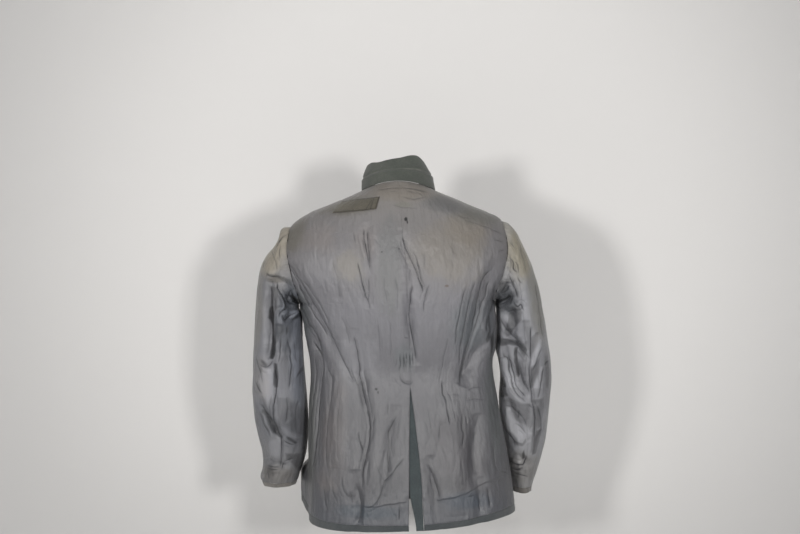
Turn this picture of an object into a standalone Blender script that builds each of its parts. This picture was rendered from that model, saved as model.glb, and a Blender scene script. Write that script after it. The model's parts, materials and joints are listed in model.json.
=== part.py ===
"""A wool tunic worn inside out, as a hollow shell of cut pieces that meet at their seams.

Metres, +Z up. The wearer faces +Y and has their right hand at +X, so the tunic's back
faces -Y. The origin is the middle of the neck opening, level with the top of the shoulder
seams. Inside out, the lining is the outer face of each panel. The wool shows at the collar,
the hem, the vent and the cuffs, where the lining stops short of it.
"""

import math
from collections import namedtuple

import bpy
import numpy as np

# Cloth and seams
WALL = 0.0024  # wool and lining together
WOOL = 0.0020  # wool turned over a soft edge
COLLAR_WALL = 0.0030
PATCH_WALL = 0.0010
PATCH_LIFT = 0.0008  # clears the flats of the panel's faces
GAP = 0.0003  # between pieces at a seam
WOOL_STEP = 0.0004  # wool lies this far under the lining's face where the lining stops

# Armholes, from the shoulder point to the armpit
SHOULDER_LEVEL = 4.0
ARMPIT_LEVEL = 7.0
ARMHOLE_HALF_ANGLE = math.radians(24.0)

# Hem
HEM_LEVEL = 13.0
HEM_ROW = 0.079  # height of the lowest row of the body's table
HEM_BAND_BACK = 0.0115  # wool that shows under the lining at the middle of the back
HEM_BAND_SIDE = 0.0180  # and at the sides and the front

# Front lap and buttons
LAP = 0.025  # each front reaches this far past the middle
LAP_RAMP = 0.018
LAP_COLUMNS = (0.0, 0.0125, LAP, 0.0375, 2 * LAP, 2 * LAP + 0.002, 2 * LAP + 0.002 + LAP_RAMP)
BUTTON_COUNT = 5
BUTTON_TOP_Z = -0.122
BUTTON_PITCH = 0.098
BUTTON_RADIUS = 0.0105
BUTTON_HEIGHT = 0.0065

# Vent underlap
UNDERLAP_WIDTH = 0.024

# Mesh sizes
BACK_COLUMNS = 14
FRONT_COLUMNS = 14
ARMHOLE_ROWS = 12
COLLAR_COLUMNS = 40
BUTTON_SIDES = 12

# The body's sections, from the neck seam to the hem. The wearer's left and right ends of a
# section lie at y = 0; its middles lie on the centre lines of the back and the front. In the
# armhole rows the ends are where the section would close if there were no armhole.
Section = namedtuple(
    "Section",
    "left right z_left z_right y_back z_back x_back y_front z_front x_front square",
)
BODY = {
    "neck seam": Section(-.0783, .0719, 0.0, 0.0, -.06, .0165, -.003, .075, -.08, -.004, 2.0),
    "by the neck": Section(-.116, .11, -.0167, -.0146, -.081, -.008, -.002, .088, -.1, -.005, 2.1),
    "mid shoulder": Section(-.155, .148, -.0325, -.0312, -.095, -.035, .001, .098, -.118, -.006, 2.2),
    "outer shoulder": Section(-.194, .184, -.049, -.046, -.106, -.064, .003, .107, -.135, -.008, 2.3),
    "shoulder point": Section(-.2305, .2136, -.077, -.064, -.114, -.096, .006, .115, -.152, -.01, 2.4),
    "upper armhole": Section(-.2515, .2345, -.128, -.118, -.12, -.132, .01, .123, -.175, -.012, 2.6),
    "lower armhole": Section(-.2405, .2235, -.183, -.174, -.124, -.18, .013, .13, -.203, -.014, 2.6),
    "armpit": Section(-.2115, .199, -.238, -.228, -.122, -.235, .016, .135, -.236, -.014, 2.5),
    "ribs": Section(-.1985, .205, -.306, -.293, -.112, -.302, .019, .13, -.3, -.012, 2.5),
    "waist": Section(-.188, .195, -.378, -.366, -.098, -.374, .0205, .118, -.372, -.008, 2.5),
    "hips": Section(-.192, .2065, -.455, -.442, -.103, -.45, .0215, .122, -.448, -.002, 2.5),
    "seat": Section(-.1935, .22, -.535, -.52, -.114, -.53, .0225, .131, -.526, .004, 2.5),
    "skirt": Section(-.1925, .234, -.612, -.596, -.126, -.61, .0245, .139, -.603, .008, 2.4),
    "hem": Section(-.1925, .244, -.69, -.672, -.134, -.6885, .0265, .144, -.68, .011, 2.3),
}

# The lower front corner on the wearer's left hangs wider than the back does.
LEFT_CORNER_FLARE = 0.055
LEFT_CORNER_RISE = 0.032
LEFT_CORNER_START = 11.2
LEFT_CORNER_END = 12.3
# The back hem swings down on the wearer's left and up on the right.
HEM_SWING = 0.0055

# The vent: a height, and the x of the edge of the left and of the right flap there.
VentEdge = namedtuple("VentEdge", "z left right")
VENT = [
    VentEdge(-0.408, 0.0210, 0.0210),
    VentEdge(-0.430, 0.0200, 0.0243),
    VentEdge(-0.490, 0.0192, 0.0323),
    VentEdge(-0.579, 0.0186, 0.0422),
    VentEdge(-0.689, 0.0180, 0.0480),
]

# A sleeve's sections below the armhole seam: the outermost and innermost points of its
# outline, the depth at which its middle lies, half its depth, and how far the middle of a
# section stands out past the line between the two points.
Cut = namedtuple("Cut", "x_outer z_outer x_inner z_inner y_middle half_depth bulge")
LEFT_SLEEVE = {
    "sleeve head": Cut(-0.2470, -0.0800, -0.2130, -0.2383, 0.001, 0.0640, -0.0115),
    "cap 1": Cut(-0.2535, -0.0980, -0.2142, -0.2390, 0.001, 0.0650, -0.0125),
    "cap 2": Cut(-0.2660, -0.1180, -0.2150, -0.2402, 0.002, 0.0660, -0.0110),
    "cap 3": Cut(-0.2830, -0.1390, -0.2156, -0.2422, 0.002, 0.0670, -0.0075),
    "cap 4": Cut(-0.2960, -0.1680, -0.2158, -0.2452, 0.003, 0.0675, -0.0035),
    "cap 5": Cut(-0.3015, -0.2000, -0.2156, -0.2505, 0.004, 0.0675, -0.0010),
    "cap foot": Cut(-0.3045, -0.2380, -0.2096, -0.2590, 0.005, 0.0670, 0.0),
    "upper arm": Cut(-0.3070, -0.2830, -0.2072, -0.2860, 0.006, 0.0660, 0.0),
    "above elbow": Cut(-0.3100, -0.3350, -0.2062, -0.3350, 0.008, 0.0650, 0.0),
    "elbow": Cut(-0.3125, -0.3880, -0.2022, -0.3880, 0.014, 0.0640, 0.0),
    "below elbow": Cut(-0.3125, -0.4350, -0.1990, -0.4350, 0.022, 0.0630, 0.0),
    "upper forearm": Cut(-0.3090, -0.4800, -0.1972, -0.4800, 0.030, 0.0610, 0.0),
    "forearm": Cut(-0.3020, -0.5250, -0.1985, -0.5250, 0.038, 0.0590, 0.0),
    "above wrist": Cut(-0.2935, -0.5620, -0.2030, -0.5620, 0.044, 0.0570, 0.0),
    "wrist": Cut(-0.2950, -0.5910, -0.2110, -0.5910, 0.047, 0.0560, 0.0),
    "cuff": Cut(-0.2985, -0.6100, -0.2180, -0.6100, 0.048, 0.0560, 0.0),
    "cuff edge": Cut(-0.2960, -0.6265, -0.2225, -0.6265, 0.048, 0.0550, 0.0),
}
RIGHT_SLEEVE = {
    "sleeve head": Cut(0.2300, -0.0700, 0.2008, -0.2285, 0.001, 0.0640, 0.0115),
    "cap 1": Cut(0.2440, -0.0880, 0.2018, -0.2295, 0.001, 0.0650, 0.0115),
    "cap 2": Cut(0.2560, -0.1100, 0.2026, -0.2310, 0.002, 0.0660, 0.0100),
    "cap 3": Cut(0.2700, -0.1370, 0.2032, -0.2335, 0.002, 0.0670, 0.0075),
    "cap 4": Cut(0.2830, -0.1700, 0.2036, -0.2370, 0.003, 0.0675, 0.0040),
    "cap 5": Cut(0.2925, -0.2050, 0.2044, -0.2425, 0.004, 0.0675, 0.0015),
    "cap foot": Cut(0.3005, -0.2450, 0.2052, -0.2540, 0.006, 0.0670, 0.0),
    "upper arm": Cut(0.3075, -0.2880, 0.2066, -0.2880, 0.008, 0.0660, 0.0),
    "above elbow": Cut(0.3160, -0.3370, 0.2058, -0.3370, 0.011, 0.0650, 0.0),
    "elbow": Cut(0.3225, -0.3880, 0.2135, -0.3880, 0.017, 0.0640, 0.0),
    "below elbow": Cut(0.3205, -0.4350, 0.2112, -0.4350, 0.026, 0.0630, 0.0),
    "upper forearm": Cut(0.3165, -0.4850, 0.2150, -0.4850, 0.036, 0.0610, 0.0),
    "forearm": Cut(0.3105, -0.5350, 0.2255, -0.5350, 0.045, 0.0590, 0.0),
    "above wrist": Cut(0.3010, -0.5750, 0.2310, -0.5750, 0.052, 0.0570, 0.0),
    "wrist": Cut(0.2935, -0.6020, 0.2345, -0.6020, 0.058, 0.0560, 0.0),
    "cuff": Cut(0.2880, -0.6200, 0.2375, -0.6200, 0.062, 0.0560, 0.0),
    "cuff edge": Cut(0.2850, -0.6420, 0.2400, -0.6420, 0.064, 0.0550, 0.0),
}
CUFF_LINING_END = 16.45  # the lining stops this far down the sleeve's sections

# The turned-up collar: its fold and its top edge are sections like the body's.
COLLAR = {
    "fold": Section(-0.0768, 0.0650, 0.026, 0.030, -0.057, 0.038, -0.004, 0.073, -0.052, -0.004, 2.1),
    "top edge": Section(-0.0662, 0.0520, 0.051, 0.046, -0.050, 0.0635, -0.006, 0.070, -0.024, -0.008, 2.2),
}
# The top edge is uneven: how far it rises or drops at these angles from the centre back.
CREST_ANGLES = np.radians([-180.0, -90.0, -60.0, -35.0, -10.0, 5.0, 28.0, 45.0, 70.0, 90.0, 180.0])
CREST_RISE = [0.0, 0.0, 0.0030, -0.0034, -0.0010, 0.0010, 0.0115, 0.0150, 0.0080, 0.0010, 0.0]
COLLAR_END_GAP = 0.0010  # half the gap between the collar's ends at the front
COLLAR_TOP_SPREAD = 0.022  # half the gap between the collar's points

# The main folds: two ends in x and z as seen from behind or in front, how far the fold bows
# towards +X between them, its depth (below 0 for a ridge) and its half-width.
Fold = namedtuple("Fold", "x_top z_top x_low z_low bow depth width")
BACK_FOLDS = {
    "long crease, left": Fold(-0.095, -0.285, -0.077, -0.625, 0.017, 0.0060, 0.013),
    "drag from left armhole": Fold(-0.226, -0.160, -0.091, -0.392, -0.004, 0.0062, 0.013),
    "second drag, left": Fold(-0.205, -0.235, -0.150, -0.375, 0.002, 0.0045, 0.011),
    "left side fold": Fold(-0.172, -0.335, -0.174, -0.570, 0.004, 0.0055, 0.012),
    "middle crease": Fold(0.024, -0.165, 0.031, -0.360, -0.008, 0.0052, 0.012),
    "upper crease, left": Fold(-0.070, -0.070, -0.063, -0.245, 0.000, 0.0040, 0.012),
    "upper crease, right": Fold(0.003, -0.095, 0.049, -0.230, -0.003, 0.0040, 0.012),
    "drag from right armhole": Fold(0.200, -0.140, 0.122, -0.400, -0.008, 0.0070, 0.014),
    "right flank trough": Fold(0.172, -0.290, 0.128, -0.405, 0.004, 0.0075, 0.015),
    "right skirt trough": Fold(0.158, -0.460, 0.152, -0.610, -0.004, 0.0060, 0.014),
    "middle skirt fold": Fold(-0.006, -0.440, -0.032, -0.620, -0.006, 0.0045, 0.012),
    "left hem fold": Fold(-0.091, -0.570, -0.087, -0.715, 0.000, 0.0065, 0.012),
    "right hem fold": Fold(0.060, -0.540, 0.080, -0.700, 0.000, 0.0045, 0.012),
    "outer hem fold": Fold(0.163, -0.585, 0.160, -0.730, 0.000, 0.0050, 0.012),
    "left waist swell": Fold(-0.125, -0.310, -0.128, -0.570, 0.003, -0.0040, 0.019),
    "right skirt swell": Fold(0.105, -0.420, 0.110, -0.660, 0.004, -0.0040, 0.021),
}
FRONT_FOLDS = {
    "drag from left armhole": Fold(-0.180, -0.185, -0.100, -0.380, -0.004, 0.0050, 0.015),
    "drag from right armhole": Fold(0.170, -0.180, 0.095, -0.390, 0.004, 0.0055, 0.015),
    "left waist fold": Fold(-0.120, -0.300, -0.110, -0.530, 0.006, 0.0052, 0.014),
    "right waist fold": Fold(0.120, -0.290, 0.125, -0.550, -0.006, 0.0052, 0.014),
    "left skirt fold": Fold(-0.150, -0.450, -0.165, -0.715, 0.004, 0.0055, 0.015),
    "right skirt fold": Fold(0.165, -0.460, 0.180, -0.715, 0.000, 0.0050, 0.015),
    "left chest swell": Fold(-0.085, -0.140, -0.090, -0.310, 0.004, -0.0040, 0.023),
    "right chest swell": Fold(0.080, -0.140, 0.085, -0.310, -0.004, -0.0040, 0.023),
}
LEFT_SLEEVE_BACK_FOLDS = {
    "deep trough": Fold(-0.268, -0.185, -0.269, -0.378, 0.001, 0.0100, 0.011),
    "armpit crumple 1": Fold(-0.252, -0.200, -0.220, -0.258, 0.006, 0.0060, 0.010),
    "armpit crumple 2": Fold(-0.243, -0.272, -0.206, -0.262, 0.000, 0.0055, 0.010),
    "elbow pull": Fold(-0.302, -0.425, -0.246, -0.520, -0.004, 0.0065, 0.011),
    "back seam fold": Fold(-0.256, -0.360, -0.244, -0.590, -0.012, 0.0050, 0.011),
    "wrist tuck": Fold(-0.292, -0.566, -0.232, -0.582, 0.000, 0.0045, 0.010),
}
LEFT_SLEEVE_FRONT_FOLDS = {
    "elbow fold 1": Fold(-0.300, -0.355, -0.218, -0.385, 0.000, 0.0070, 0.012),
    "elbow fold 2": Fold(-0.296, -0.410, -0.222, -0.428, 0.004, 0.0065, 0.012),
    "cap fold": Fold(-0.262, -0.165, -0.266, -0.320, 0.004, 0.0065, 0.013),
    "forearm fold": Fold(-0.275, -0.440, -0.262, -0.590, 0.006, 0.0050, 0.012),
}
RIGHT_SLEEVE_BACK_FOLDS = {
    "elbow sweep": Fold(0.206, -0.312, 0.284, -0.452, -0.012, 0.0080, 0.011),
    "elbow hollow": Fold(0.226, -0.290, 0.248, -0.400, 0.004, 0.0080, 0.012),
    "outer ridge": Fold(0.288, -0.300, 0.266, -0.410, 0.002, -0.0050, 0.011),
    "armpit crumple 1": Fold(0.200, -0.222, 0.250, -0.228, 0.000, 0.0062, 0.010),
    "armpit crumple 2": Fold(0.220, -0.245, 0.236, -0.296, 0.004, 0.0052, 0.010),
    "back seam fold": Fold(0.270, -0.285, 0.272, -0.510, 0.004, 0.0048, 0.011),
    "forearm sweep": Fold(0.218, -0.430, 0.268, -0.530, -0.004, 0.0060, 0.012),
    "wrist crumple": Fold(0.236, -0.560, 0.280, -0.582, 0.000, 0.0048, 0.010),
}
RIGHT_SLEEVE_FRONT_FOLDS = {
    "elbow fold 1": Fold(0.228, -0.378, 0.310, -0.350, 0.000, 0.0070, 0.012),
    "elbow fold 2": Fold(0.232, -0.428, 0.308, -0.406, 0.000, 0.0065, 0.012),
    "cap fold": Fold(0.252, -0.160, 0.262, -0.310, -0.004, 0.0065, 0.013),
    "forearm fold": Fold(0.282, -0.440, 0.268, -0.600, -0.004, 0.0050, 0.012),
}

# The bare patch sewn to the lining under the collar: its corners in x and z, seen from
# behind, going round from the lower left.
PATCH_CORNERS = [(-0.138, -0.051), (-0.048, -0.044), (-0.041, -0.018), (-0.118, -0.026)]


def curve(a, b, c, d, part):
    """The point a part of the way from b to c, on a smooth curve through a, b, c and d."""
    bend = c - a + part * (2 * a - 5 * b + 4 * c - d + part * (3 * (b - c) + d - a))
    return b + 0.5 * part * bend


def lengthened(rows):
    """Rows with one more at each end, so that a curve can start and stop at the real ends."""
    return np.concatenate([2 * rows[:1] - rows[1:2], rows, 2 * rows[-1:] - rows[-2:-1]])


def between(table, level):
    """Each column of a table at a fractional row, on a smooth curve through the rows."""
    rows = np.array(list(table.values()) if isinstance(table, dict) else table, float)
    level = np.clip(np.asarray(level, float), 0.0, len(rows) - 1.0)
    row = np.minimum(level.astype(int), len(rows) - 2)
    rows = lengthened(rows)
    return curve(*(rows[row + step] for step in range(4)), (level - row)[..., None])


def smooth(value):
    """A soft step from 0 to 1."""
    value = np.clip(value, 0.0, 1.0)
    return value * value * (3.0 - 2.0 * value)


def section_points(table, level, angle):
    """Points on stacked sections. Angle 0 is the centre back, +90 degrees the right side."""
    level, angle = np.broadcast_arrays(np.asarray(level, float), np.asarray(angle, float))
    s = Section(*np.moveaxis(between(table, level), -1, 0))
    side, line = np.sin(angle), np.cos(angle)
    round_out = 2.0 / s.square
    across = np.sign(side) * np.abs(side) ** round_out
    middle = (s.left + s.right) / 2
    back = line >= 0
    x_line = np.where(back, s.x_back, s.x_front)
    y_line = np.where(back, s.y_back, s.y_front)
    z_line = np.where(back, s.z_back, s.z_front)
    z_side = np.where(side >= 0, s.z_right, s.z_left)
    x = middle + (s.right - s.left) / 2 * across + (x_line - middle) * line**2
    y = y_line * np.abs(line) ** round_out
    z = z_side * side**2 + z_line * line**2
    return np.stack([x, y, z], -1)


def body(level, angle):
    """A point on the body's outer face, before any fold."""
    points = section_points(BODY, level, angle)
    level, side, line = np.asarray(level), np.sin(angle), np.cos(angle)
    corner = smooth((level - LEFT_CORNER_START) / (LEFT_CORNER_END - LEFT_CORNER_START))
    facing = (np.clip(-side, 0, 1) * np.clip(-line, 0, 1) * 2) ** 1.5
    points[..., 0] -= LEFT_CORNER_FLARE * corner * facing
    points[..., 2] += LEFT_CORNER_RISE * corner * facing
    swing = 2 * side * np.clip(line, 0, 1) * smooth(level - (HEM_LEVEL - 1.0))
    points[..., 2] += HEM_SWING * swing
    return points


def normals(surface, row, turn, flip=1.0):
    """Unit normals of a surface given by two parameters, pointing out of the garment."""
    step = 1e-3
    down = surface(row + step, turn) - surface(row - step, turn)
    round_it = surface(row, turn + step) - surface(row, turn - step)
    out = np.cross(down, round_it) * flip
    return out / np.linalg.norm(out, axis=-1, keepdims=True)


def fold_depth(points, out, back_folds, front_folds):
    """How far the folds move points in or out, on the faces towards the back and front."""
    move = np.zeros(points.shape[:-1])
    for folds, facing in ((back_folds, -out[..., 1]), (front_folds, out[..., 1])):
        shown = smooth((facing + 0.05) / 0.45)
        for f in folds.values():
            start = np.array([f.x_top, f.z_top])
            run = np.array([f.x_low, f.z_low]) - start
            length = np.linalg.norm(run)
            along = run / length
            sideways = np.array([-along[1], along[0]])
            place = points[..., [0, 2]] - start
            share = np.clip(place @ along / length, 0.0, 1.0)
            fade = np.sin(math.pi * share)
            off = place @ sideways - f.bow * sideways[0] * fade
            trough = (1.0 - 0.5 * (off / f.width) ** 2) * np.exp(-((off / f.width) ** 2) / 1.5)
            move -= f.depth * np.sqrt(np.abs(fade)) * trough * shown
    return move


def body_cloth(level, angle, out=0.0):
    """A point on the folded body, a distance out from the lining's face."""
    points = body(level, angle)
    way = normals(body, level, angle)
    move = fold_depth(points, way, BACK_FOLDS, FRONT_FOLDS)
    # The folds die away at the neck, where the collar's seam holds the cloth.
    move = move * smooth(np.asarray(level) / 2.0)
    return points + way * (move + out)[..., None]


def lining_level(level, angle):
    """Moves the rows of the lowest section up, so that the lining stops above the hem."""
    band = HEM_BAND_SIDE + (HEM_BAND_BACK - HEM_BAND_SIDE) * np.clip(np.cos(angle), 0, 1) ** 2
    last = HEM_LEVEL - 1.0
    below = np.clip(level - last, 0.0, 1.0)
    return np.minimum(level, last) + below * (1.0 - band / HEM_ROW)


def armhole_level(turn):
    """The level at an angle round the armhole: 0 at the shoulder, pi at the armpit."""
    return SHOULDER_LEVEL + (ARMPIT_LEVEL - SHOULDER_LEVEL) * (1 - np.cos(turn)) / 2


def side_angle(level):
    """How far round from the centre back a panel reaches: to the side, or to the armhole."""
    drop = (level - SHOULDER_LEVEL) / (ARMPIT_LEVEL - SHOULDER_LEVEL)
    drop = np.clip(drop, 0.0, 1.0)
    return math.pi / 2 - ARMHOLE_HALF_ANGLE * 2 * np.sqrt(drop * (1 - drop))


def level_at_height(z):
    """The level at which the centre back is at a height."""
    rows = list(BODY.values())
    return float(np.interp(-z, [-r.z_back for r in rows], range(len(rows))))


def angle_at_x(level, x, middle=0.0):
    """The angle near the centre back (or front, at pi) at which a section has this x."""
    low, high = middle - 0.6, middle + 0.6
    rising = math.cos(middle) > 0
    for _ in range(40):
        half = (low + high) / 2
        if (body(level, half)[0] < x) == rising:
            low = half
        else:
            high = half
    return (low + high) / 2


def spread(level, start, end, columns, first=(0.0,)):
    """Angles along a row of the body: at the first distances, then evenly to the end."""
    angle = np.linspace(start, end, 161)
    points = body(lining_level(level, angle), angle)
    reach = np.concatenate([[0], np.cumsum(np.linalg.norm(np.diff(points, axis=0), axis=1))])
    even = np.linspace(first[-1], reach[-1], columns - len(first) + 2)
    return np.interp(np.concatenate([first[:-1], even]), reach, angle)


def open_seam(outer, inner, *sides):
    """Draws the first or last column of a panel back by half the gap at a seam."""
    for edge in sides:
        near = 1 if edge == 0 else -2
        for face in (outer, inner):
            way = face[:, near] - face[:, edge]
            face[:, edge] += way / np.linalg.norm(way, axis=1, keepdims=True) * GAP / 2


def material(name, colour, roughness, metallic=0.0):
    made = bpy.data.materials.new(name)
    made.use_nodes = True
    shader = made.node_tree.nodes["Principled BSDF"]
    shader.inputs["Base Color"].default_value = (*colour, 1.0)
    shader.inputs["Roughness"].default_value = roughness
    shader.inputs["Metallic"].default_value = metallic
    return made


def solid(name, points, faces, finish):
    """A named object from points and faces, with its faces turned outwards."""
    points = np.array(points, float)
    volume = 0.0
    for face in faces:
        for second, third in zip(face[1:-1], face[2:]):
            volume += np.dot(points[face[0]], np.cross(points[second], points[third]))
    if volume < 0:
        faces = [face[::-1] for face in faces]
    mesh = bpy.data.meshes.new(name)
    mesh.from_pydata(points.tolist(), [], faces)
    mesh.shade_smooth()
    mesh.set_sharp_from_angle(angle=math.radians(50))
    mesh.materials.append(finish)
    made = bpy.data.objects.new(name, mesh)
    bpy.context.scene.collection.objects.link(made)
    return made


def cloth(name, outer, inner, finish, ring=False):
    """A wall between two grids of points. A ring's last column joins its first."""
    rows, columns = outer.shape[:2]
    points = np.vstack([outer.reshape(-1, 3), inner.reshape(-1, 3)])
    last = rows * columns
    steps = columns if ring else columns - 1
    faces = []
    for r in range(rows - 1):
        for c in range(steps):
            n = (c + 1) % columns
            quad = (r * columns + c, r * columns + n, (r + 1) * columns + n, (r + 1) * columns + c)
            faces.append(quad)
            faces.append(tuple(last + corner for corner in quad[::-1]))
    for r in (0, rows - 1):
        for c in range(steps):
            n = (c + 1) % columns
            a, b = r * columns + c, r * columns + n
            edge = (b, a, last + a, last + b)
            faces.append(edge if r == 0 else edge[::-1])
    if not ring:
        for c in (0, columns - 1):
            for r in range(rows - 1):
                a, b = r * columns + c, (r + 1) * columns + c
                edge = (a, b, last + b, last + a)
                faces.append(edge if c == 0 else edge[::-1])
    return solid(name, points, faces, finish)


def body_levels():
    """The rows of a body panel, from the neck to the end of the lining."""
    vent_level = level_at_height(VENT[0].z)
    shoulder = list(np.linspace(0.0, SHOULDER_LEVEL, 7))
    armhole = list(armhole_level(np.linspace(0.0, math.pi, ARMHOLE_ROWS + 1)))[1:-1]
    waist = list(np.linspace(ARMPIT_LEVEL, vent_level, 7))
    skirt = list(np.linspace(vent_level, HEM_LEVEL, 9))
    return shoulder + armhole + waist + skirt[1:]


def vent_x(level):
    """The x of the edges of the vent's two flaps at a level."""
    z = body(level, 0.0)[2]
    edges = np.array(VENT)[::-1]
    return [float(np.interp(z, edges[:, 0], edges[:, k])) for k in (1, 2)]


def back_start(level, side):
    """The angle of a back panel's inner edge: the centre seam, then the vent's edge."""
    if level <= level_at_height(VENT[0].z):
        return 0.0
    return angle_at_x(level, vent_x(level)[0 if side < 0 else 1])


def front_start(level, side):
    """The angle of a front panel's edge, past the middle by the lap."""
    middle = body(level, math.pi)[0]
    return angle_at_x(level, middle - side * LAP, math.pi)


def lap_step(points, side):
    """The front on the wearer's right steps in to lie under the other one."""
    if side < 0:
        return np.zeros(points.shape[:-1])
    middle = np.interp(-points[..., 2], [-r.z_front for r in BODY.values()],
                       [r.x_front for r in BODY.values()])
    past = middle + LAP + 0.002 + LAP_RAMP - points[..., 0]
    return -(WALL + 2 * GAP) * smooth(past / LAP_RAMP)


def panel_angles(levels, side, front):
    rows = []
    for level in levels:
        reach = side_angle(level)
        if front:
            start = front_start(level, side)
            start = start if side > 0 else start - 2 * math.pi
            end = side * (math.pi - reach)
            rows.append(spread(level, start, end, FRONT_COLUMNS, LAP_COLUMNS))
        else:
            rows.append(spread(level, back_start(level, side), side * reach, BACK_COLUMNS))
    return np.array(rows)


def body_panel(name, side, front, lining, wool):
    """One quarter of the body, with the wool that shows under its lining at the hem."""
    levels = body_levels()
    angle = panel_angles(levels, side, front)
    level = lining_level(np.array(levels)[:, None], angle)
    step = lap_step(body(level, angle), side) if front else np.zeros(angle.shape)
    outer = body_cloth(level, angle, step)
    inner = body_cloth(level, angle, step - WALL)
    open_seam(outer, inner, 0, -1)
    cloth(name, outer, inner, lining)

    angle = np.repeat(angle[-1:], 2, axis=0)
    top = lining_level(HEM_LEVEL, angle[0]) + GAP / HEM_ROW
    level = np.stack([top, np.full(angle.shape[1], HEM_LEVEL)])
    step = np.repeat(step[-1:], 2, axis=0) - WOOL_STEP
    outer = body_cloth(level, angle, step)
    inner = body_cloth(level, angle, step - WOOL)
    open_seam(outer, inner, 0, -1)
    cloth("hem_" + name, outer, inner, wool)


def vent_underlap(wool):
    """The strip of wool from the right flap's edge to behind the left flap."""
    top = level_at_height(VENT[0].z) - 0.1
    levels = np.linspace(top, HEM_LEVEL, 13)
    shares = np.linspace(0.0, 1.0, 5)
    level = np.repeat(levels[:, None], len(shares), axis=1)
    angle = np.zeros(level.shape)
    step = np.zeros(level.shape)
    for r, row in enumerate(levels):
        edge = vent_x(row)[1] - GAP
        narrow = 0.009 * smooth((row - 12.0) / 1.0)
        opened = smooth((edge - VENT[0].right) / 0.012)
        for c, share in enumerate(shares):
            angle[r, c] = angle_at_x(row, edge - share * (UNDERLAP_WIDTH - narrow))
            near = -(WALL + 2 * GAP) + (WALL + 2 * GAP - WOOL_STEP) * opened
            step[r, c] = near + (-(WALL + 2 * GAP) - near) * smooth(share / 0.45)
    outer = body_cloth(level, angle, step)
    inner = body_cloth(level, angle, step - WOOL)
    cloth("vent_underlap", outer, inner, wool)


def sleeve_surface(side):
    """A sleeve's outer face: row 0 is the armhole seam, turn 0 its outer edge, pi/2 its back."""
    table = np.array(list((LEFT_SLEEVE if side < 0 else RIGHT_SLEEVE).values()))

    def surface(row, turn):
        row, turn = np.broadcast_arrays(np.asarray(row, float), np.asarray(turn, float))
        back = np.sin(turn)
        level = armhole_level(turn)
        reach = side_angle(level)
        angle = side * np.where(back >= 0, reach, math.pi - reach)
        seam = body(level, angle)
        seam[..., 0] += side * GAP
        rings = [seam]
        for cut in table:
            c = Cut(*cut)
            along = (1 + np.cos(turn)) / 2
            x = c.x_inner + (c.x_outer - c.x_inner) * along + c.bulge * back**2
            y = c.y_middle - c.half_depth * np.sign(back) * np.abs(back) ** 0.9
            z = c.z_inner + (c.z_outer - c.z_inner) * along
            rings.append(np.stack([x, y, z], -1))
        rings = lengthened(np.stack(rings))
        row = np.clip(row, 0.0, len(table))
        low = np.minimum(row.astype(int), len(table) - 1)
        near = (np.take_along_axis(rings, (low + k)[None, ..., None], 0)[0] for k in range(4))
        return curve(*near, (row - low)[..., None])

    return surface


def sleeve_cloth(side, row, turn, out=0.0):
    """A point on a folded sleeve, a distance out from the lining's face."""
    surface = sleeve_surface(side)
    points = surface(row, turn)
    way = normals(surface, row, turn, -side)
    back_folds = LEFT_SLEEVE_BACK_FOLDS if side < 0 else RIGHT_SLEEVE_BACK_FOLDS
    front_folds = LEFT_SLEEVE_FRONT_FOLDS if side < 0 else RIGHT_SLEEVE_FRONT_FOLDS
    move = fold_depth(points, way, back_folds, front_folds) * smooth(np.asarray(row) / 3.0)
    # At the armhole the wall's edge face stands square to the seam, not to the cloth.
    seam = 1.0 - smooth(np.asarray(row) / 0.5)
    way[..., 0] *= 1.0 - seam
    way /= np.linalg.norm(way, axis=-1, keepdims=True)
    return points + way * (move + out)[..., None]


def sleeve(name, side, lining, wool):
    """An upper and an under sleeve, and the wool that shows at the cuff."""
    around = list(np.linspace(0.0, 2 * math.pi, 2 * ARMHOLE_ROWS + 1))[:-1]
    rows = [0.0, 0.5, 1.0, 2.0, 3.0, 4.0, 5.0, 6.0, 7.0]
    rows += [float(row) for row in np.linspace(7.6, CUFF_LINING_END, 15)]
    quarter = ARMHOLE_ROWS // 2
    upper = [turn - 2 * math.pi for turn in around[-quarter:]] + around[: quarter + 1]
    under = around[quarter : len(around) - quarter + 1]
    for piece, turns in (("upper", upper), ("under", under)):
        row, turn = np.meshgrid(rows, turns, indexing="ij")
        outer = sleeve_cloth(side, row, turn)
        inner = sleeve_cloth(side, row, turn, -WALL)
        open_seam(outer, inner, 0, -1)
        cloth(f"sleeve_{piece}_{name}", outer, inner, lining)
    last = float(len(LEFT_SLEEVE))
    row, turn = np.meshgrid([CUFF_LINING_END + 0.02, (CUFF_LINING_END + last) / 2, last], around,
                            indexing="ij")
    outer = sleeve_cloth(side, row, turn, -WOOL_STEP)
    inner = sleeve_cloth(side, row, turn, -WOOL_STEP - WOOL)
    cloth(f"cuff_{name}", outer, inner, wool, ring=True)


def collar_surface(level, angle):
    """The collar's outer face: level 0 at the neck seam, 1 at the fold, 2 at the top edge."""
    seam = BODY["neck seam"]
    lift = 2 * GAP  # clears the flats of the panels' upper edges
    base = seam._replace(
        z_left=seam.z_left + lift,
        z_right=seam.z_right + lift,
        z_back=seam.z_back + lift,
        z_front=seam.z_front + lift,
    )
    points = section_points([base, COLLAR["fold"], COLLAR["top edge"]], level, angle)
    turn = np.mod(np.asarray(angle) + math.pi, 2 * math.pi) - math.pi
    rise = np.interp(turn, CREST_ANGLES, CREST_RISE)
    points[..., 2] += rise * np.clip(np.asarray(level) - 1.0, 0.0, 1.0)
    return points


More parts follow.
